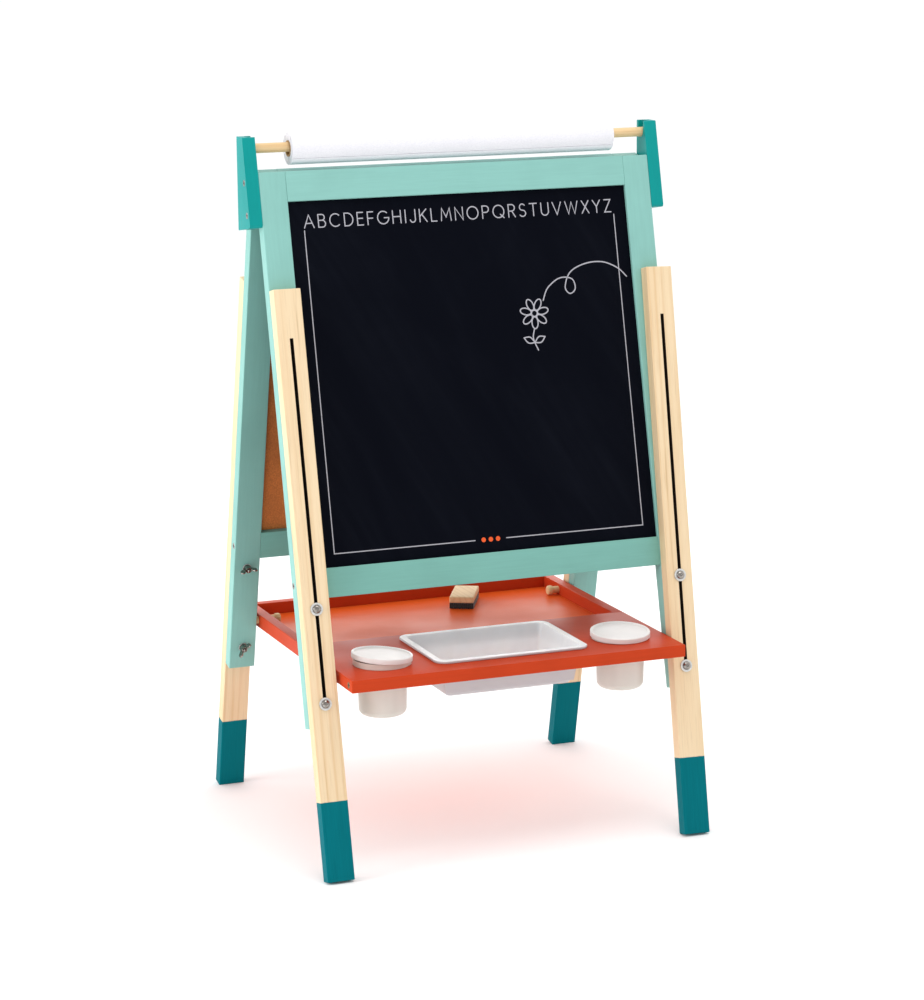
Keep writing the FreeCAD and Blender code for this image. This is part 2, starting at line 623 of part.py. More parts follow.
def leg(frame, side):
    """A sliding leg on its stile's outer face, slotted for its two bolts and eased at the floor."""
    name = f"{frame}_leg_{side + 1}"
    bolt = "(Sizes.bolt_upper + Sizes.skew_drop)" if out_of_line(frame, side) else "Sizes.bolt_upper"
    above = f"({bolt} - Sizes.leg_top)"
    end = f"((Sizes.frame_top + Sizes.foot_sink) / cos(Sizes.lean * 1deg) - {bolt})"
    blank = box(name + "_bar", "Sizes.stile_width", "Sizes.stock", f"{above} + {end}",
                "-Sizes.stile_width / 2",
                "-Sizes.stock - Sizes.slide_gap", f"-{end}")
    slot_high = f"({bolt} - Sizes.slot_top - Sizes.slot_width / 2)"
    slot_low = "(-Sizes.bolt_spacing)"
    start_y = "-Sizes.stock - Sizes.slide_gap - 2"
    through = "Sizes.stock + 4"
    slot = fused(name + "_slot", [
        box(name + "_slot_run", "Sizes.slot_width", through, f"{slot_high} - {slot_low}",
            "-Sizes.slot_width / 2",
            start_y, slot_low),
        rod(name + "_slot_high", "Sizes.slot_width / 2", through, Y_AXIS, "0", start_y, slot_high),
        rod(name + "_slot_low", "Sizes.slot_width / 2", through, Y_AXIS, "0", start_y, slot_low),
    ])
    shaped = cut(name + "_slotted", eased(blank, size["edge_round"]), [slot])
    shaped.Placement = LEAN[frame] * leg_axis(frame, side)
    floor = box(name + "_floor", "800", "800", "20", "-400", "-400", "-20")
    sub_part(f"{frame}_leg_{SIDE_NAME[frame][side]}", cut(name, shaped, [floor]))


def leg_hardware(frame):
    """Bolts and washers of a frame's two legs, and a wing nut of its own on each bolt."""
    wing_turn = {"upper": 8, "lower": 52}
    seat = size["stock"] + 2 * size["slide_gap"]
    bolts = []
    washers = []
    for side in (-1, 1):
        for level, point in zip(("upper", "lower"), bolt_points(frame, side)):
            name = f"{frame}_{level}_{side + 1}"
            outside = Placement(point - Y_AXIS * seat, OUTWARDS)
            inside = Placement(point + Y_AXIS * size["stock"], INWARDS)
            lift = Vector(0, 0, size["washer_thick"])
            bolts.append(copy_of(BOLT, name + "_bolt", LEAN[frame] * outside * Placement(lift, Rotation())))
            washers.append(copy_of(BIG_WASHER, name + "_washer", LEAN[frame] * outside))
            washers.append(copy_of(NUT_WASHER, name + "_nut_washer", LEAN[frame] * inside))
            lift = Vector(0, 0, size["nut_washer_thick"] + size["slide_gap"])
            turn = Rotation(Z_AXIS, wing_turn[level] * side)
            nut = copy_of(WING_NUT, name + "_nut", LEAN[frame] * inside * Placement(lift, turn))
            sub_part(f"{frame}_{level}_wing_nut_{SIDE_NAME[frame][side]}", nut)
    group(f"{frame}_leg_bolts", bolts)
    group(f"{frame}_leg_washers", washers)


# ---------------------------------------------------------------- brackets, dowel and roll

def bracket(side):
    """A side plate on a front stile: slotted for the dowel and relieved beside the rear stile."""
    name = f"bracket_{side + 1}"

    def on_front(drop):
        point = LEAN_FRONT.multVec(Vector(0, 0, -drop))
        return Vector(point.y, point.z, 0)

    rise = (size["bracket_top"] - size["frame_top"]) / COS
    low_front = on_front(size["bracket_drop"])
    depth = (size["bracket_back"] - low_front.x) / COS
    low_back = Vector(size["bracket_back"], low_front.y - depth * SIN + size["bracket_rise"], 0)
    profile = [on_front(-rise), Vector(size["bracket_back"], size["bracket_top"], 0), low_back, low_front]
    body = doc.addObject("PartDesign::Body", name)
    plate = body_sketch(body, "YZ_Plane", rounded_outline(profile, [1.5, 1.5, 1.5, 4]), name + "_profile")
    pad = body.newObject("PartDesign::Pad", name + "_plate")
    pad.Profile = plate
    bind(pad, Length="Sizes.bracket_thick")
    pad.Reversed = side < 0

    radius = size["dowel_slot"] / 2
    base = size["dowel_height"] - size["dowel_radius"] - size["slide_gap"] + radius
    left = size["dowel_y"] - radius
    right = size["dowel_y"] + radius
    top = size["bracket_top"] + 5
    slot_edges = [
        Part.LineSegment(Vector(left, top, 0), Vector(left, base, 0)),
        Part.Arc(Vector(left, base, 0), Vector(size["dowel_y"], base - radius, 0), Vector(right, base, 0)),
        Part.LineSegment(Vector(right, base, 0), Vector(right, top, 0)),
        Part.LineSegment(Vector(right, top, 0), Vector(left, top, 0)),
    ]
    slot = body_sketch(body, "YZ_Plane", slot_edges, name + "_slot_outline")
    pocket = body.newObject("PartDesign::Pocket", name + "_slot")
    pocket.Profile = slot
    bind(pocket, Length="Sizes.dowel_slot_depth")
    pocket.Reversed = side > 0
    doc.recompute()
    if pocket.Shape.Volume >= pad.Shape.Volume:
        raise RuntimeError(f"{name}: the slot cuts nothing")

    body.Placement = Placement(Vector(side * size["half_width"], 0, 0), Rotation())
    relief_x = "-Sizes.half_width - Sizes.slide_gap" if side < 0 else "Sizes.half_width - 1"
    relief = box(name + "_relief", "Sizes.slide_gap + 1", "80", "200", relief_x, "Sizes.stock", "-120")
    tools = [copy_of(relief, name + "_relief_leaned", LEAN_FRONT)]
    for number, seat in enumerate(bracket_screw_seats(side)):
        tools.append(screw_hole(f"{name}_screw_hole_{number}", "Sizes.bracket_screw", seat))
    sub_part(f"bracket_{SIDE_NAME['front'][side]}", cut(name + "_drilled", body, tools))


def bracket_screw_seats(side):
    """Where a bracket's two screw heads sit on its outer face."""
    outer = side * (size["half_width"] + size["bracket_thick"])
    drops = (size["bracket_screw_upper"], size["bracket_screw_lower"])
    return [LEAN_FRONT * Placement(Vector(outer, size["stock"] / 2, -drop),
                                   SIDEWAYS[side]) for drop in drops]


def bracket_screws():
    screws = []
    for side in (-1, 1):
        for number, seat in enumerate(bracket_screw_seats(side)):
            screws.append(copy_of(BRACKET_SCREW, f"bracket_screw_{side + 1}_{number}", seat))
    group("bracket_screws", screws)


def roll():
    """The dowel in the bracket slots, and the roll that hangs and turns on it."""
    reach = "(Sizes.half_width + Sizes.dowel_slot_depth - 0.5)"
    dowel = rod("dowel_bar", "Sizes.dowel_radius", f"2 * {reach}", X_AXIS, f"-{reach}", "Sizes.dowel_y",
                "Sizes.dowel_height")
    sub_part("roll_dowel", eased(dowel, 1))
    hang = "Sizes.dowel_height - (Sizes.core_inner - Sizes.dowel_radius - Sizes.slide_gap)"

    def tube(name, inner, outer, length):
        shell = rod(name + "_outer", outer, length, X_AXIS, f"-({length}) / 2", "Sizes.dowel_y", hang)
        bore = rod(name + "_bore", inner, f"{length} + 10", X_AXIS, f"-({length}) / 2 - 5", "Sizes.dowel_y",
                   hang)
        return cut(name + "_tube", shell, [bore])

    sub_part("paper_core", tube("core", "Sizes.core_inner", "Sizes.core_outer", "Sizes.roll_length + 2"))
    sub_part("paper_roll", tube("paper", "Sizes.core_outer + 0.02", "Sizes.roll_radius",
                                "Sizes.roll_length"))


# ---------------------------------------------------------------- tray

BOARD_LOW = "(Sizes.tray_top - Sizes.tray_board)"
RAIL_LOW = "(Sizes.tray_top - Sizes.tray_rail_height)"


def rounded_rectangle(half_x, half_y, radius, middle=Vector()):
    """The outline of a rectangle with rounded corners."""
    corners = [Vector(-half_x, -half_y, 0), Vector(half_x, -half_y, 0), Vector(half_x, half_y, 0),
               Vector(-half_x, half_y, 0)]
    return rounded_outline([middle + corner for corner in corners], [radius] * 4)


def tray_front_board():
    """The wide front board: cup holes, tub hole, screw holes and the notches over the rest pegs."""
    blank = box("board_blank", "2 * Sizes.tray_half", "Sizes.tray_front - Sizes.tray_board_back",
                "Sizes.tray_board",
                "-Sizes.tray_half", "-Sizes.tray_front", BOARD_LOW)
    hole_half_x = size["tub_half_width"] - size["tub_rim"] + 0.6
    hole_half_y = size["tub_half_depth"] - size["tub_rim"] + 0.6
    outline_edges = rounded_rectangle(hole_half_x, hole_half_y, size["tub_corner"] - 6,
                                      Vector(size["tub_x"], -size["tub_y"], 0))
    tub_sketch = face_sketch("tub_hole_outline", outline_edges, Placement(Vector(0, 0, 200), Rotation()))
    tools = [extruded("tub_hole", tub_sketch, Z_AXIS, "100")]
    for side in (-1, 1):
        tools.append(rod(f"cup_hole_{side + 1}", "Sizes.cup_hole", "60", Z_AXIS,
                         f"{side} * Sizes.cup_x + Sizes.cup_shift", "-Sizes.cup_y", "220"))
        tools.append(box(f"peg_notch_{side + 1}", "12", "Sizes.notch_length",
                         f"Sizes.rest_peg_height + Sizes.peg_radius + Sizes.slide_gap - {BOARD_LOW} + 5",
                         f"{side} * (Sizes.tray_half - 5) - 6",
                         f"{PEG_Y['front']} - Sizes.peg_radius - Sizes.slide_gap",
                         f"{BOARD_LOW} - 5"))
        tools.append(screw_hole(f"board_screw_hole_{side + 1}", "Sizes.tray_screw",
                                tray_screw_seats(side)["board"]))
    for number, spot in enumerate(floor_screw_spots()):
        tools.append(rod(f"floor_screw_bore_{number}", "Sizes.screw_radius + 0.05", "Sizes.floor_screw + 1",
                         Z_AXIS,
                         f"{spot.Base.x}", f"{spot.Base.y}", f"{spot.Base.z}"))
    sub_part("tray_front_board", cut("board", eased(blank, size["tray_edge"]), tools))


def tray_screw_seats(side):
    """The screws on one side: through the side rail into the rear rail, and into the front board's end."""
    x = side * size["tray_half"]
    z = size["tray_top"] - size["tray_board"] / 2
    rear = Vector(x, size["tray_back"] - size["tray_rail"] / 2, z)
    board = Vector(x, 13 - size["tray_front"], z)
    return {"rear": Placement(rear, SIDEWAYS[side]), "board": Placement(board, SIDEWAYS[side])}


def tray_rails():
    """Side rails and the rear rail, rebated below for the floor."""
    rebate_height = "Sizes.tray_floor + 5.05"
    for side in (-1, 1):
        name = f"tray_rail_{side + 1}"
        low_x = "-Sizes.tray_half" if side < 0 else "Sizes.tray_half - Sizes.tray_rail"
        blank = box(name + "_bar", "Sizes.tray_rail", "Sizes.tray_back + Sizes.tray_board_back - 0.05",
                    "Sizes.tray_rail_height", low_x, "-Sizes.tray_board_back + 0.05", RAIL_LOW)
        middle = f"{side} * (Sizes.tray_half - Sizes.tray_rail + Sizes.tray_rebate / 2)"
        inner = f"{middle} - Sizes.tray_rebate / 2"
        tools = [box(name + "_rebate", "Sizes.tray_rebate + 0.05",
                     "Sizes.tray_back + Sizes.tray_board_back - 4.9",
                     rebate_height, inner if side > 0 else f"{inner} - 0.05", "-Sizes.tray_board_back - 2",
                     f"{RAIL_LOW} - 5")]
        tools.append(rod(name + "_peg_hole", "Sizes.peg_radius + Sizes.fit", "Sizes.tray_rail + 10",
                         X_AXIS * side,
                         f"{side} * (Sizes.tray_half - Sizes.tray_rail - 5)", f"{PEG_Y['rear']}",
                         "Sizes.rear_peg_height"))
        tools.append(screw_hole(name + "_screw_hole", "Sizes.tray_screw", tray_screw_seats(side)["rear"]))
        sub_part(f"tray_rail_{SIDE_NAME['front'][side]}", cut(name, eased(blank, size["tray_edge"]), tools))

    inner_half = "(Sizes.tray_half - Sizes.tray_rail - 0.05)"
    blank = box("tray_rear_bar", f"2 * {inner_half}", "Sizes.tray_rail", "Sizes.tray_rail_height",
                f"-{inner_half}",
                "Sizes.tray_back - Sizes.tray_rail", RAIL_LOW)
    tools = [box("tray_rear_rebate", "2 * Sizes.tray_half", "Sizes.tray_rebate + 0.05", rebate_height,
                 "-Sizes.tray_half", "Sizes.tray_back - Sizes.tray_rail", f"{RAIL_LOW} - 5")]
    for side in (-1, 1):
        tools.append(screw_hole(f"tray_rear_screw_hole_{side + 1}", "Sizes.tray_screw",
                                tray_screw_seats(side)["rear"]))
    sub_part("tray_rear_rail", cut("tray_rear", eased(blank, size["tray_edge"] / 2), tools))


def floor_screw_spots():
    """Screws up through the floor into the front board."""
    y = -size["tray_board_back"] - size["tray_floor_lap"] / 2
    z = size["tray_top"] - size["tray_rail_height"]
    return [Placement(Vector(x, y, z), Rotation(X_AXIS, 180)) for x in (-200, -68, 68, 200)]


def tray_floor():
    """The thin floor, let into the rails and lapped under the front board."""
    half = "(Sizes.tray_half - Sizes.tray_rail + Sizes.tray_rebate - 0.05)"
    behind = "Sizes.tray_back - Sizes.tray_rail + Sizes.tray_rebate"
    length = f"{behind} + Sizes.tray_board_back + Sizes.tray_floor_lap"
    plate = box("floor_plate", f"2 * {half}", length, f"{BOARD_LOW} - {RAIL_LOW} - 0.05", f"-{half}",
                "-Sizes.tray_board_back - Sizes.tray_floor_lap", RAIL_LOW)
    tools = []
    screws = []
    for number, spot in enumerate(floor_screw_spots()):
        tools.append(screw_hole(f"floor_screw_hole_{number}", "Sizes.floor_screw", spot))
        screws.append(copy_of(FLOOR_SCREW, f"floor_screw_{number}", spot))
    sub_part("tray_floor", cut("floor", plate, tools))
    group("tray_floor_screws", screws)


def tray_screws():
    screws = []
    for side in (-1, 1):
        for place, seat in tray_screw_seats(side).items():
            screws.append(copy_of(TRAY_SCREW, f"tray_{place}_screw_{side + 1}", seat))
    group("tray_screws", screws)


def tray_pegs():
    """Headed rear pegs through the side rails into the rear stiles, and rest pegs in the front stiles."""
    embedded = "(Sizes.half_width - Sizes.stile_width + Sizes.peg_embed)"
    rests = []
    for side in (-1, 1):
        start = (f"{side} * Sizes.rear_peg_inner", f"{PEG_Y['rear']}", "Sizes.rear_peg_height")
        shank = rod(f"rear_peg_{side + 1}", "Sizes.peg_radius", f"{embedded} - Sizes.rear_peg_inner",
                    X_AXIS * side, *start)
        head = rod(f"rear_peg_head_{side + 1}", "Sizes.peg_head", "Sizes.peg_head_length",
                   X_AXIS * side, *start)
        rear = fused(f"rear_peg_whole_{side + 1}", [eased(shank, 1), eased(head, 2.2)])
        sub_part(f"tray_rear_peg_{SIDE_NAME['front'][side]}", rear)
        inner = f"({STILE_X} - Sizes.rest_peg_reach)"
        rest = rod(f"rest_peg_{side + 1}", "Sizes.peg_radius", f"{embedded} - {inner}", X_AXIS * side,
                   f"{side} * {inner}", f"{PEG_Y['front']}", "Sizes.rest_peg_height")
        rests.append(eased(rest, 1))
    group("front_rest_pegs", rests)


# ---------------------------------------------------------------- cups, tub and eraser

def quarter(centre_x, centre_z, radius, right, up):
    """A quarter circle of a section, in the quadrant given by right and up (each -1 or 1)."""
    start = Vector(centre_x + right * radius, centre_z, 0)
    middle = Vector(centre_x + right * radius * math.sqrt(0.5), centre_z + up * radius * math.sqrt(0.5), 0)
    end = Vector(centre_x, centre_z + up * radius, 0)
    return start, Part.Arc(start, middle, end), end


def cup_seat(side):
    """The middle of a cup's hole, on the tray's top."""
    return Placement(Vector(side * size["cup_x"] + size["cup_shift"], -size["cup_y"], size["tray_top"]),
                     Rotation())


def cup(side):
    """A cup that hangs in the tray by its collar."""
    name = SIDE_NAME["front"][side]
    wall = size["cup_wall"]
    corner = size["cup_corner"]
    floor = -size["cup_depth"]
    low = size["slide_gap"]
    high = low + size[f"collar_{name}"]
    ledge = low + wall
    inside = size["cup_flange"] - size["collar_wall"]
    centre_x = size["cup_foot"] - corner
    outer_start, outer_arc, outer_end = quarter(centre_x, floor + corner, corner, 1, -1)
    inner_start, inner_arc, inner_end = quarter(centre_x, floor + corner, corner - wall, 1, -1)
    shoulder = [
        outer_start,
        Vector(size["cup_neck"], low, 0),
        Vector(size["cup_flange"], low, 0),
        Vector(size["cup_flange"], high, 0),
        Vector(inside, high, 0),
        Vector(inside, ledge, 0),
        Vector(size["cup_neck"] - wall, ledge, 0),
        inner_start,
    ]
    base = [inner_end, Vector(0, floor + wall, 0), Vector(0, floor, 0), outer_end]
    section = [outer_arc, inner_arc]
    for run in (shoulder, base):
        section += [Part.LineSegment(start, end) for start, end in zip(run, run[1:])]
    sub_part(f"cup_{name}", revolved(f"cup_{name}_body", section), cup_seat(side))


def lid_pose(side):
    """Both lids sit askew: the left one tips about its right side, the right one about its front."""
    reach = size["cup_flange"]
    if side < 0:
        heel = Vector(reach, 0, size["lid_under"])
        turn = Rotation(Y_AXIS, size["lid_tilt_left"])
        drop = Vector()
    else:
        heel = Vector(0, -reach, size["lid_under"])
        turn = Rotation(X_AXIS, size["lid_tilt_right"])
        drop = Vector(0, 0, -size["lid_drop_right"])
    return cup_seat(side) * Placement(heel + drop, turn) * Placement(-heel, Rotation())


def cup_lid(side):
    """A dished lid with a skirt over the cup's collar."""
    radius = size["lid_radius"]
    skirt = radius - 1.3
    under = size["lid_under"]
    dish = under + size["lid_plate"]
    top = size["lid_top"]
    rim_start, rim_arc, rim_end = quarter(radius - 1, top - 1, 1, 1, 1)
    run = [
        rim_end,
        Vector(radius - 2.4, top, 0),
        Vector(radius - 3.4, dish, 0),
        Vector(0, dish, 0),
        Vector(0, under, 0),
        Vector(skirt, under, 0),
        Vector(skirt, size["lid_skirt"], 0),
        Vector(radius, size["lid_skirt"], 0),
        rim_start,
    ]
    section = [rim_arc] + [Part.LineSegment(start, end) for start, end in zip(run, run[1:])]
    name = SIDE_NAME["front"][side]
    sub_part(f"cup_lid_{name}", revolved(f"cup_lid_{name}_body", section), lid_pose(side))


def tapered_block(name, inset, top, depth, taper, corner):
    """A rounded rectangle drawn in by a taper as it goes down, inset from the tub's rim."""
    outline_edges = rounded_rectangle(size["tub_half_width"] - inset, size["tub_half_depth"] - inset, corner)
    sketch = face_sketch(name + "_outline", outline_edges, Placement(Vector(0, 0, top), Rotation()))
    return extruded(name, sketch, -Z_AXIS, f"{depth}", f"{-taper}" if taper else None)


def tub():
    """A tapered tub with a flat rim that rests on the tray."""
    rim_low = size["slide_gap"]
    rim_high = rim_low + size["tub_rim_thick"]
    taper = size["tub_taper"]
    wall = size["tub_wall"]
    bevel = size["tub_bevel"]
    corner = size["tub_corner"] - size["tub_rim"] + 1
    depth = size["tub_height"] + rim_high
    slope = math.tan(math.radians(taper))
    shell = []
    for name, inset, floor in (("outer", size["tub_rim"], depth),
                               ("inner", size["tub_rim"] + wall, depth - wall)):
        straight = floor - bevel
        wall_block = tapered_block(f"tub_{name}_wall", inset, rim_high, straight, taper, corner)
        foot_inset = inset + straight * slope
        foot = tapered_block(f"tub_{name}_foot", foot_inset, rim_high - straight, bevel, 45, corner)
        shell.append(fused(f"tub_{name}", [wall_block, foot]))
    rim = tapered_block("tub_rim", 0, rim_high, size["tub_rim_thick"], 0, size["tub_corner"])
    mouth = tapered_block("tub_mouth", size["tub_rim"] + wall, rim_high + 1, 1.01, 0, corner)
    body = fused("tub_body", [eased(rim, 0.7), shell[0]])
    place = Placement(Vector(size["tub_x"], -size["tub_y"], size["tray_top"]), Rotation())
    sub_part("storage_tub", cut("tub", body, [shell[1], mouth]), place)


def eraser():
    """A wooden block on a felt pad, lying askew on the tray's floor."""
    base = size["tray_top"] - size["tray_board"] - 0.05 + size["slide_gap"]
    place = Placement(Vector(size["eraser_x"], size["eraser_y"], base),
                      Rotation(Z_AXIS, size["eraser_turn"]))
    length = "Sizes.eraser_length"
    width = "Sizes.eraser_width"
    felt = box("felt_pad", length, width, "Sizes.eraser_felt", f"-{length} / 2", f"-{width} / 2")
    block = box("wood_block", length, width, "Sizes.eraser_wood", f"-{length} / 2", f"-{width} / 2",
                "Sizes.eraser_felt")
    sub_part("eraser_felt", eased(felt, 1), place)
    sub_part("eraser_block", eased(block, 2), place)


# ---------------------------------------------------------------- the whole easel

for frame in ("front", "rear"):
    for side in (-1, 1):
        stile(frame, side)
        leg(frame, side)
    rail(frame, "top")
    rail(frame, "bottom")
    rail_fasteners(frame)
    leg_hardware(frame)
    hinge_leaves(frame)
hinge_pins()
panel("front", "chalkboard")
panel("rear", "rear_board")
bracket_screws()
roll()
tray_front_board()
tray_rails()
tray_floor()
tray_screws()
tray_pegs()
tub()
eraser()
for side in (-1, 1):
    bracket(side)
    cup(side)
    cup_lid(side)

doc.recompute()
faulty = [item.Label for item in doc.Objects if {"Invalid", "Error"} & set(item.State)]
faulty += [label for label, item in parts.items() if item.Shape.isNull() or not item.Shape.isValid()]
if faulty:
    raise RuntimeError(f"faulty objects: {faulty}")

os.makedirs("parts", exist_ok=True)
for label, item in parts.items():
    item.Shape.exportStep(f"parts/{label}.step")
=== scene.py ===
"""Kids easel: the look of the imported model. Metres, in the row frame."""
import math
import random

import bpy
from mathutils import Euler, Matrix, Vector


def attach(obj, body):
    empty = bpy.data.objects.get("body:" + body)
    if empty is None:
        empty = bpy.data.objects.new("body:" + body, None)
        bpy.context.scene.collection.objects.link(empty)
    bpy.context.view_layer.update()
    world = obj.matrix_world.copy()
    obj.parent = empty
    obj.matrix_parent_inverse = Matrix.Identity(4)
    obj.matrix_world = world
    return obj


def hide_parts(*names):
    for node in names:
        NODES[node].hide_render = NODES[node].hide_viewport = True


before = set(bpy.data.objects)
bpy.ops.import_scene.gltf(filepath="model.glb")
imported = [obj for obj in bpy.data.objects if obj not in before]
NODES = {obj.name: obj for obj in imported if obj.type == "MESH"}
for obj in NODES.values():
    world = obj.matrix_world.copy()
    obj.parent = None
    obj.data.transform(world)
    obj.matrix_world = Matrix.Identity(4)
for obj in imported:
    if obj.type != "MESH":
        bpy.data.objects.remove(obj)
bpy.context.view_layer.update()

LEAN = math.radians(13.2)
SKEW = math.radians(1.57)
FRAME_TOP = 0.8734
STOCK = 0.018
STILE_WIDTH = 0.036
HALF_WIDTH = 0.27
LEG_X = HALF_WIDTH - STILE_WIDTH / 2
TOP_GAP = 0.002
PANEL_SETBACK = 0.005

# Distances from the frame's top, measured down the leg.
BOLT_UPPER = {"front_left": 0.555, "front_right": 0.558, "rear_left": 0.555, "rear_right": 0.555}
BOLT_SPACING = 0.1195
DYE_START = 0.7975
SLOT_TOP = 0.2132
SLOT_HALF = 0.00225
SLOT_PAST_BOLT = 0.0025

FRONT_CORNER = (0, -TOP_GAP / 2 - STOCK * math.cos(LEAN), FRAME_TOP)
FRONT = Matrix.Translation(FRONT_CORNER) @ Matrix.Rotation(-LEAN, 4, "X")
REAR = Matrix.Rotation(math.pi, 4, "Z") @ FRONT
FRAMES = {"front": FRONT, "rear": REAR}
SIDES = {"front": {"left": -1, "right": 1}, "rear": {"left": 1, "right": -1}}
rng = random.Random(11)


def srgb(red, green, blue):
    """A display colour, 0 to 255, as linear light."""
    shares = [c / 255 for c in (red, green, blue)]
    return tuple(c / 12.92 if c <= 0.04045 else ((c + 0.055) / 1.055) ** 2.4 for c in shares) + (1,)


def darker(colour, share):
    """The colour with only a share of its light."""
    return tuple(c * share for c in colour[:3]) + (1,)


def skew_of(frame_name, side):
    """How far a leg is out of line with its stile: only the right front leg is."""
    return SKEW if (frame_name, side) == ("front", "right") else 0.0


# ---------------------------------------------------------------- shader helpers

class Shader:
    """A node material in the making."""

    def __init__(self, name, **constants):
        self.material = bpy.data.materials.new(name)
        self.material.use_nodes = True
        self.tree = self.material.node_tree
        self.surface = self.tree.nodes["Principled BSDF"]
        for socket, value in constants.items():
            self.surface.inputs[socket.replace("_", " ")].default_value = value

    def node(self, kind, inputs=(), **settings):
        """A node, with its settings and its inputs: a socket is linked, a number is set."""
        made = self.tree.nodes.new("ShaderNode" + kind)
        for name, value in settings.items():
            setattr(made, name, value)
        for name, value in dict(inputs).items():
            if isinstance(value, bpy.types.NodeSocket):
                self.tree.links.new(value, made.inputs[name])
            else:
                made.inputs[name].default_value = value
        return made

    def coords(self, turn=(0, 0, 0), stretch=(1, 1, 1), offset=(0, 0, 0)):
        """The object's own coordinates, turned to the piece's grain and then stretched."""
        raw = self.node("TexCoord").outputs["Object"]
        turned = self.node("Mapping", {"Vector": raw, "Rotation": turn, "Location": offset}).outputs["Vector"]
        return self.node("Mapping", {"Vector": turned, "Scale": stretch}).outputs["Vector"]

    def noise(self, vector, scale, detail=3, roughness=0.5, distortion=0.0):
        inputs = {"Vector": vector, "Scale": scale, "Detail": detail}
        inputs |= {"Roughness": roughness, "Distortion": distortion}
        return self.node("TexNoise", inputs).outputs["Fac"]

    def remap(self, value, low, high, to_low=0.0, to_high=1.0):
        inputs = {"Value": value, "From Min": low, "From Max": high, "To Min": to_low, "To Max": to_high}
        return self.node("MapRange", inputs).outputs["Result"]

    def math(self, operation, first, second=0.0):
        made = self.node("Math", {0: first, 1: second}, operation=operation)
        return made.outputs["Value"]

    def blend(self, first, first_share, second, second_share):
        """Two values added in the given shares."""
        part = self.math("MULTIPLY", first, first_share)
        return self.math("ADD", part, self.math("MULTIPLY", second, second_share))

    def mix(self, factor, first, second):
        made = self.node("Mix", data_type="RGBA")
        for socket, value in ((0, factor), (6, first), (7, second)):
            if isinstance(value, bpy.types.NodeSocket):
                self.tree.links.new(value, made.inputs[socket])
            else:
                made.inputs[socket].default_value = value
        return made.outputs[2]

    def bump(self, height, distance, strength=1.0, normal=None):
        inputs = {"Height": height, "Distance": distance, "Strength": strength}
        if normal is not None:
            inputs["Normal"] = normal
        return self.node("Bump", inputs).outputs["Normal"]

    def finish(self, colour=None, roughness=None, normal=None, **more):
        for name, value in (("Base Color", colour), ("Roughness", roughness), ("Normal", normal)):
            if value is not None:
                self.tree.links.new(value, self.surface.inputs[name])
        for name, value in more.items():
            self.tree.links.new(value, self.surface.inputs[name.replace("_", " ")])
        return self.material


# Turns object coordinates so that a piece's length lies along Z.
GRAIN = {
    "up_front": (LEAN, 0, 0),
    "up_rear": (-LEAN, 0, 0),
    "up": (0, 0, 0),
    "across": (0, math.pi / 2, 0),
    "deep": (math.pi / 2, 0, 0),
}


def painted(name, colour, grain, streak=0.07, gloss=0.42, shine=0.2, tint=(1, 1, 1, 1)):
    """Satin paint over wood: faint brush streaks, grain that shows through and a little unevenness."""
    shader = Shader(name, Specular_IOR_Level=shine)
    shader.surface.inputs["Specular Tint"].default_value = tint
    turn = GRAIN[grain]
    plain = shader.coords(turn)
    streaks = shader.noise(shader.coords(turn, (1, 1, 0.04)), 420, 4, 0.6, 0.6)
    fine = shader.noise(shader.coords(turn, (1, 1, 0.02)), 1500, 2, 0.5)
    clouds = shader.noise(plain, 9, 3, 0.55)
    peel = shader.noise(plain, 2600, 2, 0.5)
    dark = darker(colour, 1 - streak * 2.2)
    light = tuple(min(1, c * (1 + streak)) for c in colour[:3]) + (1,)
    base = shader.mix(shader.remap(streaks, 0.3, 0.7), light, colour)
    base = shader.mix(shader.remap(clouds, 0.45, 0.75, 0, 0.55), base, dark)
    relief = shader.blend(streaks, 0.7, fine, 0.35)
    normal = shader.bump(relief, 0.00008, 0.35)
    normal = shader.bump(peel, 0.00004, 0.3, normal)
    rough = shader.remap(clouds, 0.3, 0.7, gloss - 0.05, gloss + 0.09)
    return shader.finish(base, rough, normal)


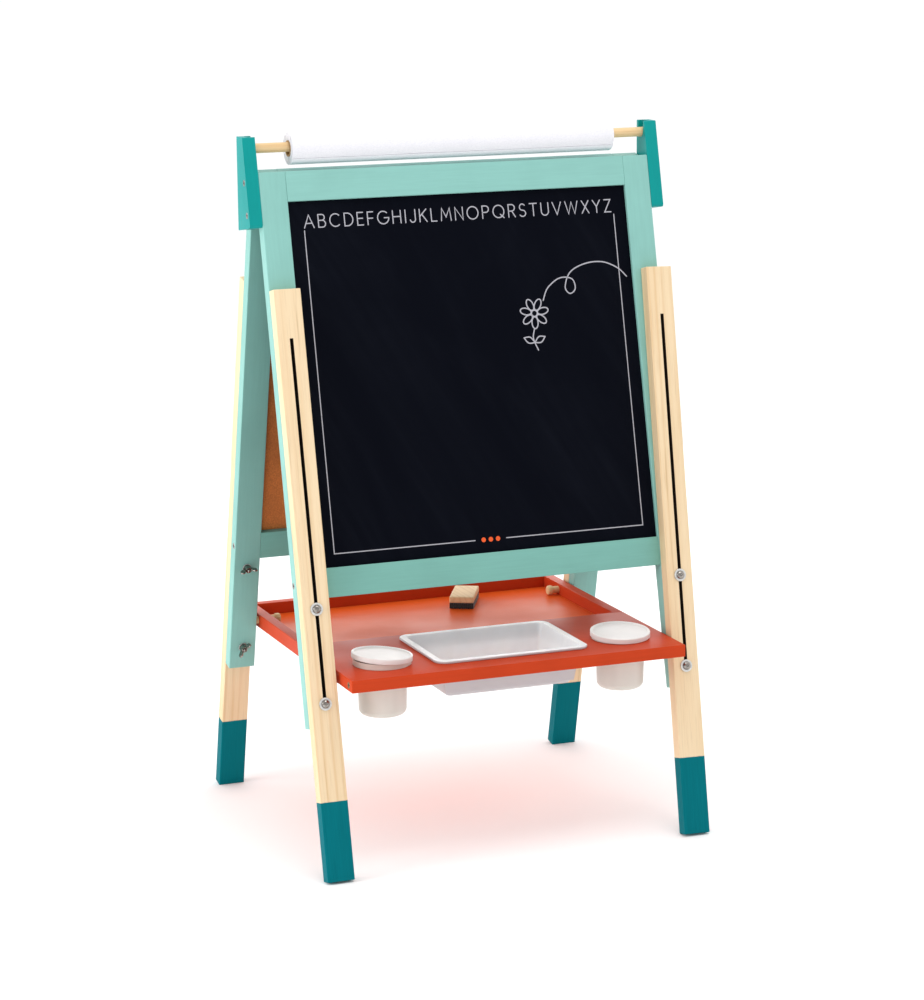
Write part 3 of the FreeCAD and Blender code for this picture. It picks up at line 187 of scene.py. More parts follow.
def timber(name, grain, light, dark, rings, seed, dye=None, skew=0.0, slot=None):
    """Softwood: growth lines along the grain, fine fibres, a few dark streaks and small knots.

    A leg also has a dyed end and a sawn slot whose walls are painted near-black as shade."""
    shader = Shader(name, Specular_IOR_Level=0.2)
    gloss = 0.5
    more = {}
    turn = (GRAIN[grain][0], GRAIN[grain][1] - skew, GRAIN[grain][2])
    offset = (0.31 * seed, 0.17 * seed, 0.23 * seed)
    bend = shader.noise(shader.coords(turn, (1, 1, 0.12), offset), 9, 2, 0.4)
    lines = shader.coords(turn, (1, 1, 0.03), offset)
    waves = shader.node(
        "TexWave",
        {"Vector": lines, "Scale": rings / 5, "Distortion": 6.5, "Detail": 3, "Detail Scale": 1.6,
         "Detail Roughness": 0.6, "Phase Offset": seed * 1.7},
        bands_direction="X", wave_profile="SIN",
    ).outputs["Fac"]
    fibres = shader.noise(shader.coords(turn, (1, 1, 0.02), offset), 900, 4, 0.65)
    broad = shader.noise(shader.coords(turn, (1, 1, 0.1), offset), 30, 3, 0.5, 0.8)
    streaks = shader.noise(shader.coords(turn, (1, 1, 0.03), offset), 210, 2, 0.5)
    cells = {"Vector": shader.coords(turn, (1, 1, 0.42), offset), "Scale": 9.0}
    knots = shader.node("TexVoronoi", cells).outputs["Distance"]
    knot = shader.remap(knots, 0.035, 0.07, 1, 0)
    ring = shader.math("POWER", shader.math("MULTIPLY", waves, shader.remap(bend, 0.3, 0.7, 0.3, 1)), 2.4)
    deep = darker(dark, 0.62)
    base = shader.mix(shader.remap(ring, 0.05, 0.95, 0, 0.42), light, dark)
    base = shader.mix(shader.remap(broad, 0.45, 0.75, 0, 0.28), base, dark)
    base = shader.mix(shader.remap(fibres, 0.52, 0.72, 0, 0.24), base, deep)
    base = shader.mix(shader.remap(streaks, 0.66, 0.76, 0, 0.4), base, deep)
    base = shader.mix(shader.math("MULTIPLY", knot, 0.7), base, darker(dark, 0.34))
    relief = shader.blend(fibres, 0.7, ring, 0.3)
    rough = shader.remap(fibres, 0.3, 0.7, gloss, gloss + 0.14)
    normal = shader.bump(relief, 0.00018, 0.45)
    plain = shader.node("SeparateXYZ", {"Vector": shader.coords(turn)}).outputs
    if dye:
        start, colour = dye
        wobble = shader.noise(shader.coords(turn), 160, 3, 0.5)
        uneven = shader.math("MULTIPLY", shader.math("SUBTRACT", wobble, 0.5), 0.0009)
        level = shader.math("ADD", plain["Z"], uneven)
        mask = shader.remap(level, start - 0.00025, start + 0.00025, 1, 0)
        shade = shader.mix(shader.remap(fibres, 0.35, 0.7), colour, darker(colour, 0.84))
        base = shader.mix(mask, base, shade)
        normal = shader.bump(mask, 0.0003, 0.8, normal)
        more["Specular_IOR_Level"] = shader.remap(mask, 0, 1, 0.2, 0.05)
    if slot:
        centre, half, low, high = slot
        aside = shader.math("ABSOLUTE", shader.math("SUBTRACT", plain["X"], centre))
        across = shader.remap(aside, half, half + 0.0002, 1, 0)
        below = shader.remap(plain["Z"], high, high + 0.0004, 1, 0)
        above = shader.remap(plain["Z"], low - 0.0004, low, 0, 1)
        inside = shader.math("MULTIPLY", across, shader.math("MULTIPLY", below, above))
        # Painted shade: the slot's walls are coloured near-black, standing in for the shade inside the narrow
        # slot.
        slot_shade = shader.mix(shader.remap(fibres, 0.35, 0.7), srgb(52, 38, 26), srgb(28, 20, 14))
        base = shader.mix(inside, base, slot_shade)
        rough = shader.math("ADD", rough, shader.math("MULTIPLY", inside, 0.3))
    return shader.finish(base, rough, normal, **more)


def steel(name, light, dark, metal=1.0, polish=0.22):
    """Plated steel: small turning marks, cloudy plating and painted shade in its recesses."""
    shader = Shader(name, Metallic=metal)
    plain = shader.coords()
    clouds = shader.noise(plain, 260, 4, 0.6)
    scratches = shader.noise(shader.coords((0.4, 0.7, 0.2), (1, 0.06, 1)), 2400, 2, 0.5)
    recess_shade = shader.node("AmbientOcclusion", {"Distance": 0.002}, samples=8).outputs["AO"]
    base = shader.mix(shader.remap(clouds, 0.35, 0.7), light, dark)
    # Painted shade: where ambient occlusion finds a recess, the colour goes almost black.
    base = shader.mix(shader.remap(recess_shade, 0.55, 0.92, 1, 0), base, srgb(16, 14, 14))
    rough = shader.remap(clouds, 0.3, 0.75, polish, polish + 0.2)
    return shader.finish(base, rough, shader.bump(scratches, 0.00002, 0.5))


def moulded(name, colour, gloss=0.34, through=0.25, shaded_outside=None):
    """Milky moulded plastic with a fine moulded texture and faint flow marks.

    The tub gets painted shade: its faces that look away from its middle are coloured darker."""
    shader = Shader(name, Subsurface_Weight=through, Subsurface_Scale=0.006, Specular_IOR_Level=0.45)
    shader.surface.inputs["Subsurface Radius"].default_value = (1.0, 0.95, 0.9)
    plain = shader.coords()
    flow = shader.noise(shader.coords((0, 0, 0), (1, 1, 0.35)), 24, 3, 0.5, 0.6)
    grain = shader.noise(plain, 3800, 2, 0.5)
    base = shader.mix(shader.remap(flow, 0.35, 0.7), colour, darker(colour, 0.93))
    if shaded_outside:
        middle, shade = shaded_outside
        spoke = shader.node("VectorMath", {0: plain, 1: middle}, operation="SUBTRACT").outputs["Vector"]
        normal = shader.node("TexCoord").outputs["Normal"]
        away = shader.node("VectorMath", {0: normal, 1: spoke}, operation="DOT_PRODUCT").outputs["Value"]
        # Painted shade: faces turned away from the middle take the darker colour.
        base = shader.mix(shader.remap(away, -0.004, 0.004), base, shade)
    rough = shader.remap(flow, 0.3, 0.7, gloss, gloss + 0.1)
    return shader.finish(base, rough, shader.bump(grain, 0.00004, 0.45))


def board_face(name):
    """Matt chalkboard paint with a ghost of wiped chalk and a toothy surface."""
    shader = Shader(name, Specular_IOR_Level=0.03)
    turn = GRAIN["up_front"]
    wiped = shader.noise(shader.coords((turn[0], 0.5, 0), (1, 1, 0.3)), 7, 5, 0.6, 1.2)
    strokes = shader.noise(shader.coords((turn[0], 0.5, 0), (1, 1, 0.05)), 90, 4, 0.6)
    tooth = shader.noise(shader.coords(turn), 2200, 3, 0.6)
    streaky = shader.remap(strokes, 0.35, 0.7, 0.2, 1)
    haze = shader.math("MULTIPLY", shader.remap(wiped, 0.48, 0.8, 0, 0.5), streaky)
    base = shader.mix(haze, srgb(6, 8, 17), srgb(24, 27, 36))
    rough = shader.remap(tooth, 0.3, 0.7, 0.5, 0.64)
    return shader.finish(base, rough, shader.bump(tooth, 0.00006, 0.6))


def rear_face(name):
    """A dry-wipe board outside and bare hardboard inside, told apart by which way the surface looks."""
    shader = Shader(name, Specular_IOR_Level=0.45)
    turn = GRAIN["up_rear"]
    normal = shader.node("TexCoord").outputs["Normal"]
    outward = REAR.to_3x3() @ Vector((0, -1, 0))
    facing = shader.node("VectorMath", {0: normal, 1: outward}, operation="DOT_PRODUCT").outputs["Value"]
    outside = shader.remap(facing, 0.3, 0.6)
    fibre = shader.noise(shader.coords(turn, (1, 1, 0.6)), 700, 5, 0.7, 0.8)
    blotch = shader.noise(shader.coords(turn), 30, 4, 0.6)
    weave = {"Vector": shader.coords(turn), "Scale": 160.0}
    mesh_x = shader.node("TexWave", weave, bands_direction="X").outputs["Fac"]
    mesh_z = shader.node("TexWave", weave, bands_direction="Z").outputs["Fac"]
    brown = shader.mix(shader.remap(fibre, 0.35, 0.7), srgb(226, 134, 64), srgb(172, 94, 40))
    brown = shader.mix(shader.remap(blotch, 0.4, 0.7, 0, 0.4), brown, srgb(146, 78, 34))
    ghost = shader.noise(shader.coords((turn[0], 0.8, 0), (1, 1, 0.08)), 34, 4, 0.6, 0.6)
    white = shader.mix(shader.remap(ghost, 0.5, 0.8, 0, 0.35), srgb(224, 227, 230), srgb(196, 201, 208))
    base = shader.mix(outside, brown, white)
    rough = shader.remap(outside, 0, 1, 0.72, 0.16)
    screen = shader.math("MULTIPLY", mesh_x, mesh_z)
    rough_side = shader.blend(fibre, 0.6, screen, 0.5)
    relief = shader.math("MULTIPLY", rough_side, shader.math("SUBTRACT", 1.0, outside))
    return shader.finish(base, rough, shader.bump(relief, 0.0002, 0.6))


def paper(name, light, dark, grain=900.0):
    """Uncoated paper or card: soft fibres and a little mottling."""
    shader = Shader(name, Specular_IOR_Level=0.25)
    fibres = shader.noise(shader.coords((0, 0, 0), (0.5, 1, 1)), grain, 4, 0.65)
    mottle = shader.noise(shader.coords(), 40, 3, 0.5)
    base = shader.mix(shader.remap(fibres, 0.4, 0.7, 0, 0.7), light, dark)
    base = shader.mix(shader.remap(mottle, 0.5, 0.8, 0, 0.3), base, dark)
    rough = shader.remap(fibres, 0.3, 0.7, 0.72, 0.86)
    return shader.finish(base, rough, shader.bump(fibres, 0.00005, 0.5))


def felt(name):
    """Dark wool felt with chalk dust caught in its fibres."""
    shader = Shader(name, Sheen_Weight=0.4, Sheen_Roughness=0.6, Specular_IOR_Level=0.2)
    fibres = shader.noise(shader.coords((0.3, 0.2, 0.1), (1, 0.3, 1)), 1300, 5, 0.75, 1.5)
    dust = shader.noise(shader.coords(), 120, 4, 0.6)
    base = shader.mix(shader.remap(fibres, 0.35, 0.7), srgb(18, 16, 17), srgb(40, 38, 40))
    base = shader.mix(shader.remap(dust, 0.6, 0.85, 0, 0.3), base, srgb(110, 106, 104))
    rough = shader.remap(fibres, 0.3, 0.7, 0.82, 0.95)
    return shader.finish(base, rough, shader.bump(fibres, 0.0005, 0.9))


def ink(name, colour):
    """Screen-printed lines: slightly broken cover over the board's tooth."""
    shader = Shader(name, Specular_IOR_Level=0.25)
    tooth = shader.noise(shader.coords(), 1800, 4, 0.65)
    base = shader.mix(shader.remap(tooth, 0.52, 0.72, 0, 0.7), colour, darker(colour, 0.45))
    rough = shader.remap(tooth, 0.3, 0.7, 0.6, 0.75)
    return shader.finish(base, rough, shader.bump(tooth, 0.00005, 0.5))


# ---------------------------------------------------------------- mesh helpers

WELD_DISTANCE = 0.000005
SHARP_ANGLE = math.radians(32)


def smoothing():
    """Smooth shading except across sharp edges, as a modifier's node group."""
    group = bpy.data.node_groups.new("smooth_by_angle", "GeometryNodeTree")
    group.interface.new_socket("Geometry", in_out="INPUT", socket_type="NodeSocketGeometry")
    group.interface.new_socket("Geometry", in_out="OUTPUT", socket_type="NodeSocketGeometry")
    nodes = group.nodes
    start = nodes.new("NodeGroupInput")
    end = nodes.new("NodeGroupOutput")
    weld = nodes.new("GeometryNodeMergeByDistance")
    weld.inputs["Distance"].default_value = WELD_DISTANCE
    faces = nodes.new("GeometryNodeSetShadeSmooth")
    faces.domain = "FACE"
    edges = nodes.new("GeometryNodeSetShadeSmooth")
    edges.domain = "EDGE"
    angle = nodes.new("GeometryNodeInputMeshEdgeAngle")
    compare = nodes.new("FunctionNodeCompare")
    compare.operation = "LESS_THAN"
    compare.inputs["B"].default_value = SHARP_ANGLE
    links = group.links
    links.new(start.outputs[0], weld.inputs["Geometry"])
    links.new(weld.outputs["Geometry"], faces.inputs["Geometry"])
    links.new(faces.outputs["Geometry"], edges.inputs["Geometry"])
    links.new(angle.outputs["Unsigned Angle"], compare.inputs["A"])
    links.new(compare.outputs["Result"], edges.inputs["Shade Smooth"])
    links.new(edges.outputs["Geometry"], end.inputs[0])
    return group


SMOOTH = smoothing()


def smooth(piece):
    """Gives a piece the smoothing."""
    piece.modifiers.new("smooth_by_angle", "NODES").node_group = SMOOTH


def solid(name, verts, faces, material, body):
    """A piece from points and faces, riding on a CAD body."""
    mesh = bpy.data.meshes.new(name)
    mesh.from_pydata([tuple(v) for v in verts], [], faces)
    mesh.update()
    piece = bpy.data.objects.new(name, mesh)
    bpy.context.scene.collection.objects.link(piece)
    mesh.materials.append(material)
    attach(piece, body)
    return piece


def arc(cx, cy, rx, ry, start, end, steps=14):
    """Points along an elliptical arc, in degrees."""
    angles = [math.radians(start + (end - start) * i / steps) for i in range(steps + 1)]
    return [(cx + rx * math.cos(a), cy + ry * math.sin(a)) for a in angles]


def ribbon(points, width):
    """Left and right edges of a drawn line, mitred at its corners and tapered to round ends."""
    points = [Vector(p) for p in points]
    closed = (points[0] - points[-1]).length < 1e-6
    if closed:
        points = points[:-1]
    count = len(points)
    rows = []
    for i, point in enumerate(points):
        before = (point - points[i - 1]).normalized() if closed or i else None
        after = (points[(i + 1) % count] - point).normalized() if closed or i < count - 1 else None
        along = ((before or after) + (after or before)).normalized()
        side = Vector((-along.y, along.x))
        reach = side.dot(Vector((-(after or before).y, (after or before).x)))
        side = side * width / 2 / max(reach, 0.5)
        if not closed and i in (0, count - 1):
            cap = along * width / 2 * (-1 if i == 0 else 1)
            ends = [(point + side, point - side), (point + side * 0.45 + cap, point - side * 0.45 + cap)]
            rows += reversed(ends) if i == 0 else ends
        else:
            rows.append((point + side, point - side))
    return rows, closed


PRINT_LIFT = 0.00012
PRINT_STEP = 0.000012


def drawing(name, lines, width, place, material, body):
    """Thin printed lines on a flat face, at five heights a hair apart so that crossings don't flicker."""
    verts = []
    faces = []
    for number, line in enumerate(lines):
        rows, closed = ribbon(line, width)
        height = -(PRINT_LIFT + PRINT_STEP * (number % 5))
        first = len(verts)
        for left, right in rows:
            verts.append(place @ Vector((left.x, height, left.y)))
            verts.append(place @ Vector((right.x, height, right.y)))
        count = len(rows)
        for i in range(count if closed else count - 1):
            a = first + 2 * i
            b = first + 2 * ((i + 1) % count)
            faces.append((a, a + 1, b + 1, b))
    return solid(name, verts, faces, material, body)


# ---------------------------------------------------------------- finishes of the CAD pieces

MINT = srgb(134, 186, 178)
# A darker mint for the low rails: painted shade, standing in for the lesser light low on the frame.
MINT_SHADED = srgb(118, 172, 162)
TEAL = srgb(0, 144, 141)
DIP = srgb(0, 112, 122)
ORANGE = srgb(191, 61, 29)
# A brighter orange for the tray's floor: painted light, standing in for the light and sheen its upward face
# catches.
ORANGE_LIT = srgb(230, 90, 30)
WARM = (1, 0.8, 0.45, 1)
PINE = srgb(235, 211, 175)
PINE_DARK = srgb(212, 170, 116)

TUB_MIDDLE = (0.003, -0.1215, 0.272)
ZINC = steel("zinc_plate", srgb(236, 235, 232), srgb(204, 203, 202), 0.75, 0.3)
BOLT_STEEL = steel("bolt_steel", srgb(172, 166, 160), srgb(104, 99, 94), 1.0, 0.16)
PLASTIC = moulded("milky_plastic", srgb(220, 213, 204))
# The tub's outward faces are coloured a darker grey as painted shade.
TUB_PLASTIC = moulded("milky_tub", srgb(250, 248, 250), 0.3, 0.8, (TUB_MIDDLE, srgb(188, 185, 188)))
LID_PLASTIC = moulded("milky_lid", srgb(232, 228, 226), 0.3, 0.2)
MINT_PAINT = {grain: painted("mint_" + grain, MINT, grain) for grain in ("up_front", "up_rear", "across")}
ORANGE_PAINT = {
    grain: painted("orange_" + grain, ORANGE, grain, 0.08, 0.42, 0.14, WARM) for grain in ("across", "deep")
}
# The low rails' paint is the darker mint, as painted shade.
LOW_RAIL_SHADED_PAINT = painted("mint_low_rails_shaded", MINT_SHADED, "across")
# The tray floor takes the brighter orange as painted light.
TRAY_LIT_PAINT = painted("orange_tray_floor_lit", ORANGE_LIT, "across", 0.05, 0.38, 0.2, WARM)
TEAL_PAINT = painted("teal_bracket", TEAL, "up_front", 0.06, 0.4, 0.16)
PEG_WOOD = timber("peg_wood", "across", srgb(234, 203, 156), srgb(200, 158, 106), 260, 3)
BLOCK_WOOD = timber("block_wood", "deep", srgb(230, 196, 154), srgb(194, 148, 104), 200, 6)
BOARD = board_face("chalkboard_paint")
REAR_BOARD = rear_face("rear_board_faces")
PAPER = paper("white_paper", srgb(236, 235, 240), srgb(220, 220, 227))
CARD = paper("brown_card", srgb(176, 142, 98), srgb(132, 102, 66), 500)
FELT = felt("dark_felt")
WHITE_INK = ink("pale_ink", srgb(174, 173, 181))
ORANGE_INK = ink("orange_ink", srgb(232, 92, 40))
SINGLE_FINISHES = {
    "chalkboard": BOARD,
    "rear_board": REAR_BOARD,
    "paper_core": CARD,
    "paper_roll": PAPER,
    "eraser_felt": FELT,
    "eraser_block": BLOCK_WOOD,
}


def leg_timber(frame_name, side, seed):
    """A leg's own pine, with its foot dipped in dye square to the leg and painted shade on its slot's walls.
    """
    skew = skew_of(frame_name, side)
    bolt_drop = BOLT_UPPER[f"{frame_name}_{side}"]
    bolt = FRAMES[frame_name] @ Vector((SIDES[frame_name][side] * LEG_X, 0, -bolt_drop))
    turned = Euler((GRAIN["up_" + frame_name][0], -skew, 0)).to_matrix() @ bolt
    dye_start = turned.z - (DYE_START - bolt_drop)
    slot_low = turned.z - BOLT_SPACING - SLOT_PAST_BOLT
    slot_high = turned.z + bolt_drop - SLOT_TOP
    slot = (turned.x, SLOT_HALF, slot_low, slot_high)
    name = f"pine_{frame_name}_{side}"
    return timber(name, "up_" + frame_name, PINE, PINE_DARK, 130, seed, (dye_start, DIP), skew, slot)


def material_for(node):
    """The finish of a CAD node that isn't a leg, by its name."""
    where = node.split("_")[0]
    if "stile" in node:
        return MINT_PAINT["up_" + where]
    if node in ("front_top_rail", "rear_top_rail"):
        return MINT_PAINT["across"]
    if node in ("front_bottom_rail", "rear_bottom_rail"):
        return LOW_RAIL_SHADED_PAINT
    if node == "tray_floor":
        return TRAY_LIT_PAINT
    if node in ("tray_rail_left", "tray_rail_right"):
        return ORANGE_PAINT["deep"]
    if node in ("tray_front_board", "tray_rear_rail"):
        return ORANGE_PAINT["across"]
    if node in ("bracket_left", "bracket_right"):
        return TEAL_PAINT
    if node.startswith("cup_lid"):
        return LID_PLASTIC
    if node == "storage_tub":
        return TUB_PLASTIC
    if node.startswith("cup"):
        return PLASTIC
    if "peg" in node or "dowel" in node:
        return PEG_WOOD
    if node.endswith("_leg_bolts") or "wing_nut" in node or "screws" in node:
        return BOLT_STEEL
    return SINGLE_FINISHES.get(node, ZINC)


finishes = {}
for frame_name in FRAMES:
    for side in ("left", "right"):
        finishes[f"{frame_name}_leg_{side}"] = leg_timber(frame_name, side, len(finishes) + 1)

for node, piece in NODES.items():
    piece.data.materials.clear()
    piece.data.materials.append(finishes.get(node) or material_for(node))
    smooth(piece)


# ---------------------------------------------------------------- print on the chalkboard

# Each letter's width and its strokes, in heights of a letter.
LETTERS = {
    "A": (0.80, [[(0, 0), (0.4, 1), (0.8, 0)], [(0.15, 0.35), (0.65, 0.35)]]),
    "B": (0.58, [[(0, 0), (0, 1), (0.3, 1)] + arc(0.3, 0.77, 0.22, 0.23, 80, -90) + [(0, 0.54)],
                 [(0, 0.54), (0.32, 0.54)] + arc(0.32, 0.27, 0.26, 0.27, 80, -90) + [(0, 0)]]),
    "C": (0.84, [arc(0.46, 0.5, 0.46, 0.5, 48, 312, 24)]),
    "D": (0.70, [[(0, 0), (0, 1), (0.24, 1)] + arc(0.24, 0.5, 0.46, 0.5, 80, -80, 20) + [(0.24, 0), (0, 0)]]),
    "E": (0.48, [[(0.48, 1), (0, 1), (0, 0), (0.48, 0)], [(0, 0.53), (0.44, 0.53)]]),
    "F": (0.46, [[(0.46, 1), (0, 1), (0, 0)], [(0, 0.5), (0.42, 0.5)]]),
    "G": (0.90, [arc(0.47, 0.5, 0.47, 0.5, 48, 352, 24) + [(0.93, 0.48), (0.56, 0.48)]]),
    "H": (0.66, [[(0, 0), (0, 1)], [(0.66, 0), (0.66, 1)], [(0, 0.52), (0.66, 0.52)]]),
    "I": (0.04, [[(0.02, 0), (0.02, 1)]]),
    "J": (0.44, [[(0.44, 1), (0.44, 0.3)] + arc(0.22, 0.24, 0.22, 0.24, 0, -170)]),
    "K": (0.60, [[(0, 0), (0, 1)], [(0.57, 1), (0, 0.42)], [(0.19, 0.6), (0.6, 0)]]),
    "L": (0.46, [[(0, 1), (0, 0), (0.46, 0)]]),
    "M": (0.84, [[(0, 0), (0.09, 1), (0.42, 0.28), (0.75, 1), (0.84, 0)]]),
    "N": (0.64, [[(0, 0), (0, 1), (0.64, 0), (0.64, 1)]]),
    "O": (0.94, [arc(0.47, 0.5, 0.47, 0.5, 0, 360, 32)]),
    "P": (0.54, [[(0, 0), (0, 1), (0.28, 1)] + arc(0.28, 0.74, 0.26, 0.26, 80, -80)
                 + [(0.28, 0.48), (0, 0.48)]]),
    "Q": (0.96, [arc(0.47, 0.5, 0.47, 0.5, 0, 360, 32), [(0.62, 0.26), (0.92, -0.02)]]),
    "R": (0.56, [[(0, 0), (0, 1), (0.28, 1)] + arc(0.28, 0.74, 0.26, 0.26, 80, -80)
                 + [(0.28, 0.48), (0, 0.48)], [(0.28, 0.48), (0.56, 0)]]),
    "S": (0.54, [arc(0.28, 0.75, 0.24, 0.25, 35, 265, 18) + arc(0.27, 0.25, 0.27, 0.25, 85, -145, 18)]),
    "T": (0.62, [[(0, 1), (0.62, 1)], [(0.31, 1), (0.31, 0)]]),
    "U": (0.62, [[(0, 1)] + arc(0.31, 0.31, 0.31, 0.31, 180, 360, 18) + [(0.62, 1)]]),
    "V": (0.74, [[(0, 1), (0.37, 0), (0.74, 1)]]),
    "W": (1.08, [[(0, 1), (0.27, 0), (0.54, 0.96), (0.81, 0), (1.08, 1)]]),
    "X": (0.60, [[(0, 0), (0.6, 1)], [(0, 1), (0.6, 0)]]),
    "Y": (0.64, [[(0, 1), (0.32, 0.48), (0.64, 1)], [(0.32, 0.48), (0.32, 0)]]),
    "Z": (0.56, [[(0, 1), (0.55, 1), (0, 0), (0.56, 0)]]),
}


def alphabet(left, right, baseline, height):
    """The letters' strokes, spread evenly from left to right."""
    widths = sum(width for width, strokes in LETTERS.values()) * height
    gap = (right - left - widths) / (len(LETTERS) - 1)
    lines = []
    start = left
    for width, strokes in LETTERS.values():
        for stroke in strokes:
            lines.append([(start + x * height, baseline + y * height) for x, y in stroke])
        start += width * height + gap
    return lines


def spline(points, steps=10):
    """A smooth line through the points."""
    ends = [points[0]] + points + [points[-1]]
    line = []
    for a, b, c, d in zip(ends, ends[1:], ends[2:], ends[3:]):
        for i in range(steps):
            t = i / steps
            line.append(tuple(
                0.5 * (2 * b[k] + (c[k] - a[k]) * t + (2 * a[k] - 5 * b[k] + 4 * c[k] - d[k]) * t ** 2
                       + (3 * b[k] - a[k] - 3 * c[k] + d[k]) * t ** 3)
                for k in (0, 1)
            ))
    return line + [points[-1]]


def flower(cx, cy, size):
    """A plain chalk-drawn flower: seven petals round a centre, a bent stem and two leaves."""
    lines = [arc(cx, cy, 0.2 * size, 0.2 * size, 0, 360, 24)]
    petals = 7
    for i in range(petals):
        turn = math.tau * i / petals + 0.2
        cos, sin = math.cos(turn), math.sin(turn)
        outline = arc(0.6 * size, 0, 0.38 * size, 0.21 * size, -180, 180, 22)
        lines.append([(cx + x * cos - y * sin, cy + x * sin + y * cos) for x, y in outline])
    stem = [(-0.1, -1.02), (-0.22, -1.6), (0.05, -2.35)]
    lines.append(spline([(cx + x * size, cy + y * size) for x, y in stem]))
    for sign in (-1, 1):
        root = (cx - 0.14 * size, cy - 1.86 * size)
        tip = (root[0] + sign * 0.72 * size, root[1] + 0.34 * size)
        upper = (root[0] + sign * 0.3 * size, root[1] + 0.36 * size)
        lower = (root[0] + sign * 0.44 * size, root[1])
        lines.append(spline([root, upper, tip]))
        lines.append(spline([root, lower, tip]))
    return lines


# Places on the board: across from its middle, and down from the frame's top edge.
BOARD_PLACE = FRONT @ Matrix.Translation((0, PANEL_SETBACK, 0))
BORDER_LEFT = -0.214
BORDER_RIGHT = 0.216
BORDER_TOP = -0.0762
BORDER_LOW = -0.488
BORDER_GAP = 0.022
DOT_SPACING = 0.01
DOT_RADIUS = 0.0016


def board_print(name, lines, width, colour):
    """Lines printed on the chalkboard."""
    drawing(name, lines, width, BOARD_PLACE, colour, "front_frame")


border = [
    [(BORDER_LEFT, BORDER_TOP), (BORDER_LEFT, BORDER_LOW), (-BORDER_GAP, BORDER_LOW)],
    [(BORDER_GAP, BORDER_LOW), (BORDER_RIGHT, BORDER_LOW), (BORDER_RIGHT, BORDER_TOP)],
]
curl = spline([
    (0.104, -0.184), (0.112, -0.168), (0.130, -0.156), (0.1475, -0.158), (0.151, -0.171), (0.143, -0.177),
    (0.137, -0.168), (0.146, -0.149), (0.168, -0.139), (0.193, -0.138), (0.214, -0.147), (0.226, -0.159),
])
dots = [arc(x, BORDER_LOW, DOT_RADIUS, DOT_RADIUS, 0, 360, 16) for x in (-DOT_SPACING, 0.0, DOT_SPACING)]

board_print("alphabet_print", alphabet(-0.2135, 0.2125, -0.0727, 0.0162), 0.00145, WHITE_INK)
board_print("border_print", border, 0.0013, WHITE_INK)
board_print("chalk_drawing", flower(0.090, -0.200, 0.0205) + [curl], 0.0016, WHITE_INK)
board_print("border_dots", dots, 0.003, ORANGE_INK)


# ---------------------------------------------------------------- wound paper, threads and felt

ROLL_CENTRE = Vector((0, 0.002, 0.90005))
ROLL_INNER = 0.01036
ROLL_OUTER = 0.0207
ROLL_HALF = 0.2225
SHEET_THICK = 0.00034
FREE_EDGE_LIFT = 0.0004
FREE_EDGE_SHARE = 0.12


def wound_paper():
    """The roll as one sheet wound on its core, its turns slightly out of line and its free edge lifting."""
    turns = 24
    steps = 72
    verts = []
    faces = []
    sway = [rng.uniform(-0.00035, 0.00035) for _ in range(turns + 2)]
    total = turns * steps
    for i in range(total + 1):
        turn = i / steps
        angle = math.tau * turn - math.radians(35)
        whole = int(turn)
        shift = sway[whole] + (sway[whole + 1] - sway[whole]) * (turn - whole)
        low = ROLL_INNER + (ROLL_OUTER - ROLL_INNER - SHEET_THICK) * turn / turns
        lift = FREE_EDGE_LIFT * max(0.0, (turn - turns + FREE_EDGE_SHARE) / FREE_EDGE_SHARE) ** 2
        for radius in (low + lift, low + SHEET_THICK + lift):
            for end in (-1, 1):
                spoke = Vector((end * ROLL_HALF + shift, -radius * math.cos(angle), radius * math.sin(angle)))
                verts.append(ROLL_CENTRE + spoke)
        if i:
            a = 4 * (i - 1)
            b = 4 * i
            faces += [(a, b, b + 1, a + 1), (a + 2, a + 3, b + 3, b + 2)]
            faces += [(a, a + 2, b + 2, b), (a + 1, b + 1, b + 3, a + 3)]
    last = 4 * total
    faces += [(0, 1, 3, 2), (last, last + 2, last + 3, last + 1)]
    roll = solid("wound_paper", verts, faces, PAPER, "paper_roll")
    smooth(roll)
    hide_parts("paper_roll")


THREAD_ROOT = 0.00171
THREAD_HEIGHT = 0.00022
THREAD_HALF = 0.0003
THREAD_PITCH = 0.0008
THREAD_START = 0.0272
THREAD_END = 0.0301
THREAD_STEPS = 18


def thread(x, z, place, first):
    """The points and faces of one bolt's thread, counted on from a first point."""
    verts = []
    faces = []
    total = int((THREAD_END - THREAD_START) / THREAD_PITCH * THREAD_STEPS)
    for i in range(total + 1):
        angle = math.tau * i / THREAD_STEPS
        fade = min(1.0, i / 6, (total - i) / 6)
        y = THREAD_START + THREAD_PITCH * i / THREAD_STEPS
        crest = THREAD_ROOT + THREAD_HEIGHT * fade
        for radius, offset in ((THREAD_ROOT, -THREAD_HALF), (crest, 0.0), (THREAD_ROOT, THREAD_HALF)):
            point = Vector((x + radius * math.cos(angle), y + offset, z + radius * math.sin(angle)))
            verts.append(place @ point)
        if i:
            a = first + 3 * (i - 1)
            b = first + 3 * i
            faces += [(a, a + 1, b + 1, b), (a + 1, a + 2, b + 2, b + 1)]
    return verts, faces


def bolt_threads(frame_name):
    """Rolled threads on the bolt tails that show beyond the wing nuts."""
    verts = []
    faces = []
    for side, sign in SIDES[frame_name].items():
        skew = skew_of(frame_name, side)
        for drop in (0, BOLT_SPACING):
            x = sign * LEG_X - drop * math.sin(skew)
            z = -BOLT_UPPER[f"{frame_name}_{side}"] - drop * math.cos(skew)
            more_verts, more_faces = thread(x, z, FRAMES[frame_name], len(verts))
            verts += more_verts
            faces += more_faces
    smooth(solid(f"{frame_name}_bolt_threads", verts, faces, BOLT_STEEL, f"{frame_name}_frame"))


FELT_PLACE = Matrix.Translation((0.074, 0.16, 0.24155)) @ Matrix.Rotation(math.radians(62), 4, "Z")
FELT_LENGTH = 0.0695
FELT_WIDTH = 0.0336
FELT_HEIGHT = 0.0079
FELT_STRIPS = 6
STRIP_GAP = 0.00036
STRIP_CELLS = (40, 5, 6)


